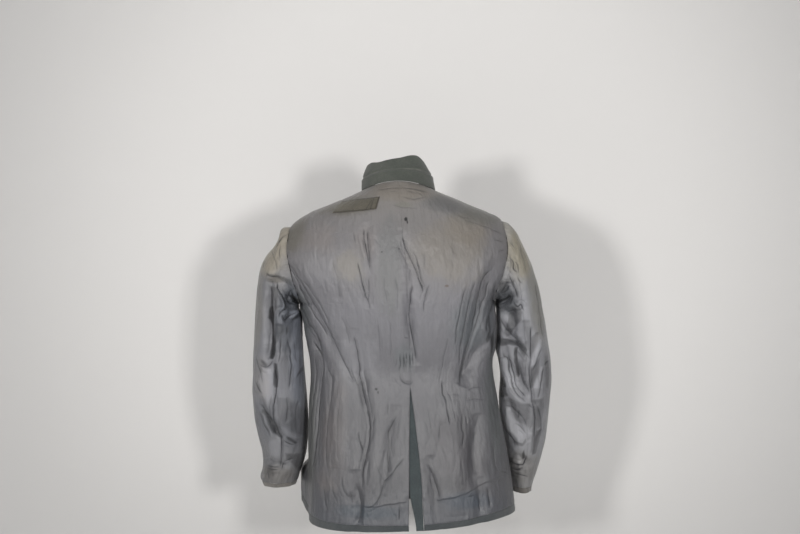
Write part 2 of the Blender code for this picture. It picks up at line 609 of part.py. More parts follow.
def collar(wool):
    """The stand, and the fall turned up above it, each open at the middle of the front."""
    for name, low, high, rows in (("collar_stand", 0.0, 1.0, 3), ("collar_fall", 1.0, 2.0, 4)):
        low += 0.016 if low else 0.0
        levels = np.linspace(low, high, rows)
        grid = []
        for level in levels:
            half_gap = COLLAR_END_GAP + COLLAR_TOP_SPREAD * smooth(level - 1.0) ** 0.7
            end = math.pi - math.asin(min(half_gap / 0.070, 1.0))
            grid.append(np.linspace(-end, end, COLLAR_COLUMNS + 1))
        angle = np.array(grid)
        level = np.repeat(levels[:, None], angle.shape[1], axis=1)
        out = normals(collar_surface, level, angle)
        outer = collar_surface(level, angle)
        inner = outer - out * COLLAR_WALL
        cloth(name, outer, inner, wool)


def find_on_back(x, z):
    """The level and angle of the point of the back with this x and z."""
    level, angle = 2.0, x / 0.25
    for _ in range(30):
        here = body(level, angle)
        step = 1e-4
        by_level = (body(level + step, angle) - here) / step
        by_angle = (body(level, angle + step) - here) / step
        slopes = np.array([[by_level[0], by_angle[0]], [by_level[2], by_angle[2]]])
        move = np.linalg.solve(slopes, [x - here[0], z - here[2]])
        level += float(np.clip(move[0], -0.5, 0.5))
        angle += float(np.clip(move[1], -0.2, 0.2))
    return level, angle


def patch(finish):
    """The bare patch, lying on the lining."""
    low_left, low_right, high_right, high_left = (
        np.array(find_on_back(x, z)) for x, z in PATCH_CORNERS
    )
    down = np.linspace(0.0, 1.0, 4)[:, None, None]
    across = np.linspace(0.0, 1.0, 9)[None, :, None]
    place = (1 - down) * ((1 - across) * high_left + across * high_right)
    place = place + down * ((1 - across) * low_left + across * low_right)
    outer = body_cloth(place[..., 0], place[..., 1], np.full(place.shape[:2], PATCH_LIFT + PATCH_WALL))
    inner = body_cloth(place[..., 0], place[..., 1], np.full(place.shape[:2], PATCH_LIFT))
    cloth("neck_patch", outer, inner, finish)


def button(name, centre, way, finish):
    """A domed button with a short shank, its back against the cloth and its dome along way."""
    outline = [(0.0030, 0.0), (0.0030, 0.0016), (BUTTON_RADIUS * 0.92, 0.0018)]
    for share in np.linspace(0.0, 1.0, 4)[:-1]:
        bend = share * math.pi / 2
        height = 0.0024 + (BUTTON_HEIGHT - 0.0024) * math.sin(bend)
        outline.append((BUTTON_RADIUS * math.cos(bend), height))
    side = np.cross(way, [1.0, 0.0, 0.0])
    side /= np.linalg.norm(side)
    other = np.cross(way, side)
    points = []
    for radius, height in outline:
        for k in range(BUTTON_SIDES):
            turn = 2 * math.pi * k / BUTTON_SIDES
            spoke = math.cos(turn) * side + math.sin(turn) * other
            points.append(centre + way * height + spoke * radius)
    points.append(centre + way * BUTTON_HEIGHT)
    faces = [tuple(range(BUTTON_SIDES))[::-1]]
    for ring in range(len(outline) - 1):
        for k in range(BUTTON_SIDES):
            n = (k + 1) % BUTTON_SIDES
            low, high = ring * BUTTON_SIDES, (ring + 1) * BUTTON_SIDES
            faces.append((low + k, low + n, high + n, high + k))
    top = (len(outline) - 1) * BUTTON_SIDES
    for k in range(BUTTON_SIDES):
        faces.append((top + k, top + (k + 1) % BUTTON_SIDES, len(points) - 1))
    solid(name, points, faces, finish)


def buttons(finish):
    """Buttons down the middle of the front, on the wool face inside the lap."""
    rows = list(BODY.values())
    for k in range(BUTTON_COUNT):
        z = BUTTON_TOP_Z - k * BUTTON_PITCH
        level = float(np.interp(-z, [-r.z_front for r in rows], range(len(rows))))
        inside = -2 * WALL - 3 * GAP - GAP
        centre = body_cloth(level, math.pi, np.array(inside))
        way = -normals(body, level, math.pi)
        button(f"button_{k + 1}", centre, way, finish)


for old in list(bpy.data.objects):
    bpy.data.objects.remove(old, do_unlink=True)

LINING = material("grey lining", (0.21, 0.21, 0.22), 0.45)
FIELD_WOOL = material("field-grey wool", (0.075, 0.088, 0.088), 0.9)
PATCH_CLOTH = material("patch cloth", (0.115, 0.105, 0.090), 0.8)
BUTTON_METAL = material("button metal", (0.34, 0.33, 0.31), 0.4, 1.0)

body_panel("back_left", -1, False, LINING, FIELD_WOOL)
body_panel("back_right", 1, False, LINING, FIELD_WOOL)
body_panel("front_left", -1, True, LINING, FIELD_WOOL)
body_panel("front_right", 1, True, LINING, FIELD_WOOL)
vent_underlap(FIELD_WOOL)
sleeve("left", -1, LINING, FIELD_WOOL)
sleeve("right", 1, LINING, FIELD_WOOL)
collar(FIELD_WOOL)
patch(PATCH_CLOTH)
buttons(BUTTON_METAL)
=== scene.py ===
"""A wool tunic worn inside out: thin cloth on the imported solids, its creases, sewing and light.

Metres, +Z up. The wearer faces +Y and has their right hand at +X, so the back faces -Y.
"""

import json
import math
from collections import namedtuple

import bpy
import mathutils
import numpy as np
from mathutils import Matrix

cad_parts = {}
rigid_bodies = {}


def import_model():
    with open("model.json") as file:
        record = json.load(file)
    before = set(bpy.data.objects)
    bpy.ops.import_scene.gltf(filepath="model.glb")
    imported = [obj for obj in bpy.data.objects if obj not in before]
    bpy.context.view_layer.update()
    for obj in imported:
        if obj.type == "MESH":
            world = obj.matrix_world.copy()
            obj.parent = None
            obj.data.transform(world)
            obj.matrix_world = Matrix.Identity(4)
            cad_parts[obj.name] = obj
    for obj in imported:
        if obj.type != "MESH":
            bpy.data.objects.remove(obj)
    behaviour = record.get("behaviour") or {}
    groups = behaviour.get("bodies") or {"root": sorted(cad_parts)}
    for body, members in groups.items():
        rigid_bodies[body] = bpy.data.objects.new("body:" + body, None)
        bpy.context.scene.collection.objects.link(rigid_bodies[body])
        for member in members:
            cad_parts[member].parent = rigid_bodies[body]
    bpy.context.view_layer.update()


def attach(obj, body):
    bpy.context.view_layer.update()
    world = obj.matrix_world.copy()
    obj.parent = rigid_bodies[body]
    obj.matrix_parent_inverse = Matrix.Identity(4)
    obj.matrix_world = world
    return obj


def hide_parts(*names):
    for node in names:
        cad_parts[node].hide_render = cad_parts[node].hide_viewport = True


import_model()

# --------------------------------------
# Back, left and right. Two halves cut from grey satin lining over field-grey wool, joined
# down the middle as far as the vent, where the left flap laps over the right one. They are
# sewn to the fronts at the shoulders and sides, and to the sleeves round the armholes.
# --------------------------------------

WALL = 0.0024
GAP = 0.0003
SEWN_GAP = 0.00006
UNDER = WALL + 2 * GAP
CREASE_DEPTH, CREASE_WIDTH = 0.62, 0.80
SHOULDER_LEVEL, ARMPIT_LEVEL, HEM_LEVEL = 4.0, 7.0, 13.0
ARMHOLE_HALF_ANGLE = math.radians(24.0)
HEM_ROW, HEM_BAND_BACK, HEM_BAND_SIDE = 0.079, 0.0115, 0.0180
LEFT_CORNER_FLARE, LEFT_CORNER_RISE = 0.055, 0.032
LEFT_CORNER_START, LEFT_CORNER_END = 11.2, 12.3
HEM_SWING = 0.0055


def table(text):
    """Rows of numbers by name. A row starts with its name and a colon, and may run on."""
    rows = {}
    for line in text.strip().splitlines():
        name, colon, numbers = line.rpartition(":")
        if colon:
            row = rows[name] = []
        row += [float(word) for word in numbers.split()]
    return rows


# The body's sections, from the neck seam to the hem.
Section = namedtuple(
    "Section",
    "left right z_left z_right y_back z_back x_back y_front z_front x_front square",
)
BODY = table("""
neck seam: -.0783 .0719 0 0 -.06 .0165 -.003 .075 -.08 -.004 2
by the neck: -.116 .11 -.0167 -.0146 -.081 -.008 -.002 .088 -.1 -.005 2.1
mid shoulder: -.155 .148 -.0325 -.0312 -.095 -.035 .001 .098 -.118 -.006 2.2
outer shoulder: -.194 .184 -.049 -.046 -.106 -.064 .003 .107 -.135 -.008 2.3
shoulder point: -.2305 .2136 -.077 -.064 -.114 -.096 .006 .115 -.152 -.01 2.4
upper armhole: -.2515 .2345 -.128 -.118 -.12 -.132 .01 .123 -.175 -.012 2.6
lower armhole: -.2405 .2235 -.183 -.174 -.124 -.18 .013 .13 -.203 -.014 2.6
armpit: -.2115 .199 -.238 -.228 -.122 -.235 .016 .135 -.236 -.014 2.5
ribs: -.1985 .205 -.306 -.293 -.112 -.302 .019 .13 -.3 -.012 2.5
waist: -.188 .195 -.378 -.366 -.098 -.374 .0205 .118 -.372 -.008 2.5
hips: -.192 .2065 -.455 -.442 -.103 -.45 .0215 .122 -.448 -.002 2.5
seat: -.1935 .22 -.535 -.52 -.114 -.53 .0225 .131 -.526 .004 2.5
skirt: -.1925 .234 -.612 -.596 -.126 -.61 .0245 .139 -.603 .008 2.4
hem: -.1925 .244 -.69 -.672 -.134 -.6885 .0265 .144 -.68 .011 2.3
""")

# The vent: a height, and the x of the left and of the right flap's edge there.
VENT = [
    (-0.408, 0.0210, 0.0210),
    (-0.430, 0.0200, 0.0243),
    (-0.490, 0.0192, 0.0323),
    (-0.579, 0.0186, 0.0422),
    (-0.689, 0.0180, 0.0480),
]


def mirrored(rows, first):
    """A table with the other sign on each x. A row's places start after its first numbers."""
    signs = {name: [1] * first + [-1, 1] * (len(row) // 2) for name, row in rows.items()}
    return {name: [a * b for a, b in zip(row, signs[name])] for name, row in rows.items()}


# The broad folds, in millimetres: the x and z of both ends, how far the fold bows towards +X,
# its depth (below 0 for a swell) and its half-width.
Fold = namedtuple("Fold", "x_top z_top x_low z_low bow depth width")
BACK_FOLDS = table("""
long crease, left: -95 -285 -77 -625 17 6 13
drag from left armhole: -226 -160 -91 -392 -4 4 13
second drag, left: -205 -235 -150 -375 2 4.5 11
left side fold: -172 -335 -174 -570 4 5.5 12
middle crease: 24 -165 31 -360 -8 5.2 12
upper crease, left: -70 -70 -63 -245 0 4 12
upper crease, right: 3 -95 49 -230 -3 4 12
drag from right armhole: 200 -140 122 -400 -8 7 14
right flank trough: 172 -290 128 -405 4 7.5 15
right skirt trough: 158 -460 152 -610 -4 6 14
middle skirt fold: -6 -440 -32 -620 -6 4.5 12
left hem fold: -91 -570 -87 -715 0 6.5 12
right hem fold: 60 -540 80 -700 0 4.5 12
outer hem fold: 163 -585 160 -730 0 5 12
left waist swell: -125 -310 -128 -570 3 -4 19
right skirt swell: 105 -420 110 -660 4 -4 21
""")
FRONT_FOLDS = table("""
drag from left armhole: -180 -185 -100 -380 -4 5 15
drag from right armhole: 170 -180 95 -390 4 5.5 15
left waist fold: -120 -300 -110 -530 6 5.2 14
right waist fold: 120 -290 125 -550 -6 5.2 14
left skirt fold: -150 -450 -165 -715 4 5.5 15
right skirt fold: 165 -460 180 -715 0 5 15
left chest swell: -85 -140 -90 -310 4 -4 23
right chest swell: 80 -140 85 -310 -4 -4 23
""")

# The narrow creases: depth and half-width, then the x and z of the places each runs through,
# all in millimetres.
FRONT_CREASES = table("""
left chest drag: 2.2 4 -206 -190 -150 -262 -120 -305 -96 -352
left chest drag twin: 1.6 4 -198 -222 -170 -262 -140 -310
left waist 1: 2.2 4 -120 -340 -112 -385 -114 -430 -120 -490
left waist 2: 1.5 4 -84 -330 -88 -372 -84 -418
left waist 3: 1.2 4 -148 -372 -140 -410 -144 -452
left skirt 1: 2.4 5 -140 -520 -146 -570 -150 -630 -158 -690
left skirt 2: 1.8 5 -98 -540 -94 -600 -100 -660
left skirt 3: 1.4 6 -60 -500 -58 -560 -64 -620
left chest crease: 1.8 3.4 -62 -110 -58 -150 -64 -196 -60 -240
left shoulder: 1.2 4 -150 -70 -128 -92 -112 -120
right chest drag: 2.4 4 196 -180 140 -262 118 -310 100 -360
right chest drag twin: 1.6 4 190 -215 160 -258 136 -305
right waist 1: 2 4 122 -345 126 -392 120 -440 124 -500
right waist 2: 1.4 4 92 -322 96 -366 90 -412
right waist 3: 1.2 4 156 -380 150 -420 158 -460
right skirt 1: 2.4 5 160 -520 168 -575 172 -640 180 -690
right skirt 2: 1.8 5 112 -530 120 -590 116 -650
right skirt 3: 1.4 6 72 -505 76 -560 70 -625
right chest crease: 1.6 3.4 60 -120 66 -165 62 -215
right shoulder: 1.2 4 140 -66 122 -90 106 -122
""")
BACK_CREASES = table("""
left blade crease: 2.2 3.2 -72 -79 -72 -101 -59 -170
its twin beside it: 1.6 3 -67 -81 -66 -107 -63 -132 -60 -157
below the left blade: 2 3.2 -86 -147 -75 -197 -63 -240
short one by it: 1.3 3.2 -64 -180 -63 -202 -64 -227 -60 -252
middle blade crease: 2.4 3.4 3 -94 10 -117 41 -192 46 -217
its twin: 1.6 3 24 -127 33 -147 39 -172 44 -197
its tail: 1.3 3.4 59 -192 54 -212 49 -232 50 -257
down the middle: 2.8 3.8 25 -192 19 -247 21 -278 33 -355
small of the back 1: 1.8 2.6 0 -334 1 -357 0 -380
small of the back 2: 1.9 2.6 8 -334 7 -354 8 -375
small of the back 3: 1.9 2.6 14 -331 13 -354 13 -377
small of the back 4: 1.8 2.6 20 -334 20 -352 19 -372
small of the back 5: 1.6 2.6 26 -331 26 -349 25 -367
small of the back nick: .9 2.4 8 -303 18 -306
above the vent: 1.2 3 -3 -377 5 -393 20 -398 30 -388
left blade hollow: 1.6 9 -139 -147 -128 -177 -124 -207 -119 -233
left blade fleck: .8 3.2 -96 -86 -90 -117
mid back hollow 1: .9 5.5 -33 -177 -30 -207 -25 -237
mid back hollow 2: .9 4.5 -10 -177 -5 -212 -6 -257
right blade hollow 1: .9 7 50 -122 48 -167
right blade hollow 2: 1.3 10 111 -107 105 -167
collar foot gather 1: 1.3 3 -49 -3 -20 1 8 2
collar foot gather 2: 1.7 3 0 3 31 -1 59 -9
collar foot gather 3: .8 2.6 10 -6 41 -10
yoke ripple 1: .9 4.5 0 -17 31 -22 61 -16
yoke ripple 2: .8 5 -20 -35 10 -40 41 -43
yoke ripple 3: .8 3 31 -6 49 -15
right shoulder drag: 1 4.5 132 -65 179 -80 206 -93
right shoulder drag 2: .8 4 112 -55 153 -64
right armhole pucker 1: 1.1 3 184 -83 200 -88 214 -95
right armhole pucker 2: 1.1 3 189 -106 202 -108 216 -111
right armhole pucker 3: 1 3 199 -129 216 -126
right flank 1: 1.6 4 133 -202 126 -228 115 -288 112 -324
right flank 2: 2.1 5 154 -187 144 -218 124 -319 122 -361
right flank 3: 3.2 5 189 -167 172 -180 165 -198 161 -233 155 -264 148 -294 135 -335 127 -371 123
-406
right flank 4: 2.6 5 184 -188 179 -218 166 -254 140 -336 128 -392
right flank 5: 2 5 197 -188 191 -229 179 -270 177 -300
right waist trough: 5.5 12 185 -311 159 -336 136 -377 130 -397
right flank 6: 2 5 198 -261 194 -291 186 -322
right waist fleck: 1.3 3.4 98 -303 89 -344 81 -385 80 -410
right of the vent: 2.2 3.3 85 -390 87 -416 94 -440 100 -485
right skirt 1: 2 4 127 -456 126 -486 129 -501 126 -530
right skirt nick: 1.2 3 135 -462 138 -487
right skirt 2: 3.2 8 155 -488 153 -528 155 -568 157 -587
right skirt 3: 1.1 4 78 -465 81 -490 78 -515
right skirt 4: 1.6 6 166 -453 158 -478 153 -503
right waist cross: .9 5 132 -412 153 -408 175 -409
toward the vent hem: 2.1 4 55 -554 64 -574 73 -599 80 -628
right hem fold 1: 3 5 159 -610 162 -632 164 -657
right hem fold 2: 3 5 177 -603 182 -633 185 -653
right hem nick: 1.4 4 133 -624 157 -619
right hem corner: 1.6 4 205 -577 229 -589
right waist side 1: .8 5 132 -432 158 -430 180 -434
right waist side 2: 1.6 6 186 -430 196 -467 201 -517
right skirt 5: 1.6 7 189 -515 194 -561 199 -596
mid skirt right 1: .9 6 53 -440 61 -475 63 -510
mid skirt right 2: 1 7 106 -500 111 -539 110 -574
left main drag: 1.5 3.4 -232 -152 -218 -172 -153 -280 -92 -399
left drag 2: 1.8 3.2 -229 -162 -214 -188 -201 -219 -180 -255 -148 -305
left drag 3: 1.9 3.4 -221 -209 -203 -240 -186 -281 -170 -311 -160 -342
left drag 4: 1.1 3.2 -205 -183 -184 -208 -163 -238 -143 -279
left side strip: 2.2 3.4 -181 -312 -160 -363 -168 -426 -181 -581
left side strip 2: 1.3 3.4 -176 -343 -177 -391 -182 -443 -187 -547
left side long: 1.3 5 -152 -363 -138 -398 -148 -484 -151 -530 -148 -580
left skirt hollow: 1.2 7 -122 -427 -125 -472 -127 -522 -124 -562
left long crease: 3.2 4.3 -95 -299 -84 -361 -81 -391 -66 -457 -63 -482 -64 -511 -76 -575 -76 -610
its twin low down: 1.6 4 -86 -491 -78 -521 -73 -541
beside it high up: 1.3 3.5 -102 -361 -94 -386 -81 -411
left hem fold: 4.5 7 -91 -596 -83 -621 -80 -650 -86 -680
left hem fold twin: 2 5 -101 -611 -96 -641
left of the vent: 1.7 4 -5 -460 -20 -486 -24 -515 -25 -579
left of the vent nick: 1 3.4 -25 -435 -25 -465
left skirt arc: 1.3 3.5 10 -544 -10 -569 -25 -584 -33 -599 -40 -623 -55 -640 -75 -646
left skirt arc twin: .9 3.5 -48 -559 -40 -579 -30 -594
left skirt nick: 1.2 3.6 -48 -451 -53 -468 -58 -486
left hem drag: 1.6 5 -119 -582 -114 -611 -96 -631
left hem corner 1: 1.6 5 -158 -607 -153 -636 -147 -665
left hem corner 2: 1.4 5 -137 -614 -129 -638
left hem tuck fold: 2 4 0 -637 -1 -654 -2 -671
left waist hollow: 1.2 7 -121 -258 -109 -289 -101 -324
mid back low 1: .9 6 -48 -257 -43 -298 -40 -339
mid back low 2: .8 6 -20 -268 -18 -308 -20 -349
mid skirt left: .9 5 8 -475 10 -500 8 -529
""")

# Flat planes of satin between folds: how much paler (above 0) or darker each is painted, in
# doublings of the colour, and the x and z of its corners in millimetres. The painting stands
# for the shade of clefts deeper than the cloth is bent here, and for the satin's gloss.
BACK_PLANES = table("""
right flank fold: -1.6 180 -261 184 -261 187 -304 180 -318 177 -311 183 -294
right flank ridge: .25 184 -253 194 -248 192 -289 186 -305
right flank, low: -2.4 186 -305 193 -294 193 -320 186 -354
left flank: -.15 -202 -229 -194 -235 -161 -292 -161 -318 -179 -318 -199 -256
left armpit cleft: -4 -220 -212 -213 -219 -209 -227 -202 -235 -200 -243 -208 -242 -218 -233
left armpit cleft, low: -3 -212 -243 -200 -242 -200 -250 -209 -250
right armpit cleft: -4 191 -230 204 -226 204 -240 196 -242 190 -236
right armpit edge: -2.6 195 -240 206 -237 209 -262 209 -300 206 -318 196 -322 199 -292
left waist edge: -.35 -184 -298 -168 -307 -161 -315 -161 -341 -174 -379 -177 -346 -177 -320
""")

# The lower edges of the lining's tucks above the hem: x and z in millimetres, and 1 on the
# back or -1 on the front.
HEM_TUCKS = [
    [(-79, -642, 1), (-45, -641, 1), (-25, -635, 1), (16, -632, 1)],
    [(72, -629, 1), (100, -625, 1), (135, -616, 1), (160, -604, 1), (175, -597, 1), (206, -592, 1)],
    [(-178, -632, -1), (-120, -640, -1), (-60, -646, -1), (4, -645, -1)],
    [(56, -640, -1), (110, -634, -1), (180, -622, -1)],
]


def smooth(value):
    """A soft step from 0 to 1."""
    value = np.clip(value, 0.0, 1.0)
    return value * value * (3.0 - 2.0 * value)


def bell(off, width):
    """1 where off is 0, falling away softly on both sides."""
    return np.exp(-((off / width) ** 2))


def turned_in(distance, reach):
    """How far an edge is turned in, from 1 at the edge itself to 0 at its reach."""
    return np.clip(1.0 - distance / reach, 0.0, 1.0) ** 2


def curve(a, b, c, d, part):
    """The point a part of the way from b to c, on a smooth curve through a, b, c and d."""
    bend = c - a + part * (2 * a - 5 * b + 4 * c - d + part * (3 * (b - c) + d - a))
    return b + 0.5 * part * bend


def lengthened(rows):
    """Rows with one more at each end, so that a curve can start and stop at the real ends."""
    return np.concatenate([2 * rows[:1] - rows[1:2], rows, 2 * rows[-1:] - rows[-2:-1]])


def between(table, level):
    """Each column of a table at a fractional row, on a smooth curve through the rows."""
    rows = np.array(list(table.values()) if isinstance(table, dict) else table, float)
    level = np.clip(np.asarray(level, float), 0.0, len(rows) - 1.0)
    row = np.minimum(level.astype(int), len(rows) - 2)
    rows = lengthened(rows)
    return curve(*(rows[row + step] for step in range(4)), (level - row)[..., None])


def matched(level, angle):
    """Two parameters as arrays of one shape."""
    return np.broadcast_arrays(np.asarray(level, float), np.asarray(angle, float))


def section_points(table, level, angle):
    """Points on stacked sections. Angle 0 is the centre back, +90 degrees the right side."""
    level, angle = matched(level, angle)
    s = Section(*np.moveaxis(between(table, level), -1, 0))
    side, line = np.sin(angle), np.cos(angle)
    round_out = 2.0 / s.square
    across = np.sign(side) * np.abs(side) ** round_out
    middle = (s.left + s.right) / 2
    back = line >= 0
    x_line = np.where(back, s.x_back, s.x_front)
    x = middle + (s.right - s.left) / 2 * across + (x_line - middle) * line**2
    y = np.where(back, s.y_back, s.y_front) * np.abs(line) ** round_out
    z = np.where(side >= 0, s.z_right, s.z_left) * side**2
    z = z + np.where(back, s.z_back, s.z_front) * line**2
    return np.stack([x, y, z], -1)


def body(level, angle):
    """A point on the body's lining, before any fold."""
    points = section_points(BODY, level, angle)
    level, side, line = np.asarray(level), np.sin(angle), np.cos(angle)
    corner = smooth((level - LEFT_CORNER_START) / (LEFT_CORNER_END - LEFT_CORNER_START))
    facing = (np.clip(-side, 0, 1) * np.clip(-line, 0, 1) * 2) ** 1.5
    points[..., 0] -= LEFT_CORNER_FLARE * corner * facing
    points[..., 2] += LEFT_CORNER_RISE * corner * facing
    swing = 2 * side * np.clip(line, 0, 1) * smooth(level - (HEM_LEVEL - 1.0))
    points[..., 2] += HEM_SWING * swing
    return points


def unit(vectors):
    return vectors / np.linalg.norm(vectors, axis=-1, keepdims=True)


def normals(surface, row, turn, flip=1.0):
    """Unit normals of a surface given by two parameters, pointing out of the garment."""
    step = 1e-3
    down = surface(row + step, turn) - surface(row - step, turn)
    round_it = surface(row, turn + step) - surface(row, turn - step)
    return unit(np.cross(down, round_it) * flip)


def fold_depth(points, out, back_folds, front_folds):
    """How far the broad folds move points in or out, towards the back and the front."""
    move = np.zeros(points.shape[:-1])
    for folds, facing in ((back_folds, -out[..., 1]), (front_folds, out[..., 1])):
        shown = smooth((facing + 0.05) / 0.45)
        for f in folds.values():
            f = Fold(*(size / 1000 for size in f))
            start = np.array([f.x_top, f.z_top])
            run = np.array([f.x_low, f.z_low]) - start
            length = np.linalg.norm(run)
            along = run / length
            sideways = np.array([-along[1], along[0]])
            place = points[..., [0, 2]] - start
            share = np.clip(place @ along / length, 0.0, 1.0)
            fade = np.sin(math.pi * share)
            off = place @ sideways - f.bow * sideways[0] * fade
            trough = (1.0 - 0.5 * (off / f.width) ** 2) * np.exp(-((off / f.width) ** 2) / 1.5)
            move -= f.depth * np.sqrt(np.abs(fade)) * trough * shown
    return move


# The metres of body cloth that a radian stands for, and a level: at the neck, on the whole,
# and at the skirt.
BODY_RADIAN = 0.17
NECK_LEVEL, MEAN_LEVEL, SKIRT_LEVEL = 0.033, 0.055, 0.067

# The random rises repeat after this many.
KNOTS = 97


def knots_round(u, v, seed):
    """The four random knots from -1 to 1 round each place, and its shares of the way between
    them. There is one knot to each unit of u and of v."""
    knots = np.random.default_rng(seed).uniform(-1.0, 1.0, (KNOTS, KNOTS))
    i, j = np.floor(u).astype(int), np.floor(v).astype(int)
    four = (knots[(i + a) % KNOTS, (j + b) % KNOTS] for a, b in ((0, 0), (1, 0), (0, 1), (1, 1)))
    return *four, u - i, v - j


def ripple(u, v, seed):
    """Uneven rise and fall from -1 to 1."""
    near, beside, below, far, p, q = knots_round(u, v, seed)
    p, q = smooth(p), smooth(q)
    return (near * (1 - p) + beside * p) * (1 - q) + (below * (1 - p) + far * p) * q


def drawn_creases(creases):
    """The paths of the narrow creases in metres, each slightly unsteady, and beside each deep
    one two short fainter ones. A narrow crease is keen: its bottom is a sharp line."""
    chance = np.random.default_rng(41)
    for depth, width, *path in creases.values():
        path = np.reshape(path, (-1, 2)) / 1000
        knots = max(8 * (len(path) - 1), 16)
        path = between(path, np.linspace(0.0, len(path) - 1.0, knots + 1))
        run = np.gradient(path, axis=0)
        length = np.linalg.norm(run, axis=1, keepdims=True)
        side = np.stack([-run[:, 1], run[:, 0]], 1) / length
        along = np.cumsum(length)
        start = chance.uniform(0.0, 90.0)
        wander = 0.0008 * ripple(start + along / 0.009, 0.0, 3)
        wander += 0.0006 * ripple(start + along / 0.021, 0.0, 4)
        path = path + side * wander[:, None]
        keen = np.clip(depth / 2.0, 0.0, 1.0) * np.clip(1.65 - width / 6.0, 0.0, 1.0)
        width = width * CREASE_WIDTH
        yield depth / 1000, width / 1000, keen, path
        for way in (-1, 1):
            count = int(knots * chance.uniform(0.35, 0.7))
            first = chance.integers(0, knots - count + 1)
            off = way * chance.uniform(0.0045, 0.0115)
            lean = chance.uniform(0.5, 1.4, 2)
            part = slice(first, first + count + 1)
            beside = path[part] + side[part] * off * np.linspace(*lean, count + 1)[:, None]
            if abs(depth) > 1.15:
                yield 0.30 * depth / 1000, 0.85 * width / 1000, 0.3 * keen, beside


# The distance from a crease's line, in millimetres, that stands for none being near.
NO_LINE = 9.0


def narrow_creases(points, out, back_creases, front_creases):
    """How far the narrow creases move points, and four marks for each: how deep in a crease
    it lies, which is painted darker as shade and grime, its distance in millimetres from the
    nearest crease's line, below 0 on one side, how keen that line is, and how pale or dark it
    is painted as shade and gloss (filled in later). One side of a crease is steep with a lip
    beside it, and the other runs out gently."""
    flat = points.reshape(-1, 3)
    move, mark = np.zeros(len(flat)), np.zeros((len(flat), 4))
    mark[:, 1] = NO_LINE
    nearest = np.full(len(flat), NO_LINE / 1000)
    for creases, facing in ((back_creases, -out[..., 1]), (front_creases, out[..., 1])):
        shown = smooth((facing.ravel() - 0.04) / 0.36)
        for number, (depth, width, keen, fine) in enumerate(drawn_creases(creases)):
            low, high = fine.min(0) - 5 * width, fine.max(0) + 5 * width
            x, z = flat[:, 0], flat[:, 2]
            near = np.flatnonzero(
                (x > low[0]) & (x < high[0]) & (z > low[1]) & (z < high[1]) & (shown > 0)
            )
            if not len(near):
                continue
            run, start = np.diff(fine, axis=0), walked(fine)
            length = np.diff(start)
            place = flat[near][:, None, [0, 2]] - fine[None, :-1]
            share = np.clip((place * run).sum(-1) / length**2, 0.0, 1.0)
            off = place - share[..., None] * run
            far = np.linalg.norm(off, axis=-1)
            best = far.argmin(1)
            pick = np.arange(len(near)), best
            far, along = far[pick], start[best] + share[pick] * length[best]
            side = run[best, 0] * off[pick][:, 1] - run[best, 1] * off[pick][:, 0]
            side = np.sign(side) * (1 if number % 2 else -1)
            uneven = ripple(along / 0.019, number, 5)
            wide = width * (1.0 + 0.25 * ripple(along / 0.028, number, 6))
            total = start[-1]
            ends = smooth(np.minimum(along, total - along) / min(0.015, 0.4 * total))
            fade = ends * (1.0 + 0.30 * uneven) * shown[near]
            q = far / wide
            reach = np.where(side > 0, q / 0.7, q / 1.3)
            lip = np.where(side > 0, 0.30, 0.10) * bell(q - 1.35, 0.62)
            move[near] += CREASE_DEPTH * fade * depth * (lip - np.exp(-(reach**1.5)))
            # How dark a crease is painted, as shade and grime.
            line = bell(far, 0.0016) + 0.25 * bell(q, 1.0)
            shade_and_grime = fade * line * np.clip(depth / 0.0026, 0.2, 1.0)
            mark[near, 0] = np.maximum(mark[near, 0], shade_and_grime)
            closer = far < nearest[near]
            at = near[closer]
            nearest[at] = far[closer]
            mark[at, 1] = 1000 * (side * far)[closer]
            mark[at, 2] = (fade * keen * smooth((0.0038 - far) / 0.0014))[closer]
    return move.reshape(points.shape[:-1]), mark.reshape(points.shape[:-1] + (4,))


def inside_by(x, z, outline):
    """How far points lie inside an outline, and below 0 outside it."""
    far, within = np.full(x.shape, 1.0), np.zeros(x.shape, bool)
    for (ax, az), (bx, bz) in zip(outline, np.roll(outline, -1, axis=0)):
        share = ((x - ax) * (bx - ax) + (z - az) * (bz - az)) / ((bx - ax) ** 2 + (bz - az) ** 2)
        share = np.clip(share, 0.0, 1.0)
        far = np.minimum(far, np.hypot(x - ax - share * (bx - ax), z - az - share * (bz - az)))
        if az != bz:
            within ^= ((az > z) != (bz > z)) & (x < ax + (bx - ax) * (z - az) / (bz - az))
    return np.where(within, far, -far)


def satin_planes(points, out, back_planes, front_planes):
    """How far the flat planes of satin stand in or out, and how pale or dark each is painted as shade
    and gloss.
    """
    x = points[..., 0] + 0.0007 * ripple(points[..., 2] / 0.009, points[..., 0] / 0.02, 55)
    z = points[..., 2] + 0.0007 * ripple(points[..., 0] / 0.009, points[..., 2] / 0.02, 56)
    move, tone = np.zeros(x.shape), np.zeros(x.shape)
    for planes, facing in ((back_planes, -out[..., 1]), (front_planes, out[..., 1])):
        shown = smooth((facing + 0.05) / 0.35)
        for shade, *outline in planes.values():
            inside = inside_by(x, z, np.reshape(outline, (-1, 2)) / 1000)
            full = 0.62 + 0.38 * smooth(inside / 0.006)
            tone += shade * shown * smooth((inside + 0.0009) / 0.0020) * full
            move += 0.0011 * np.clip(shade, -1.2, 0.8) * shown * smooth(inside / 0.005)
    return move, tone


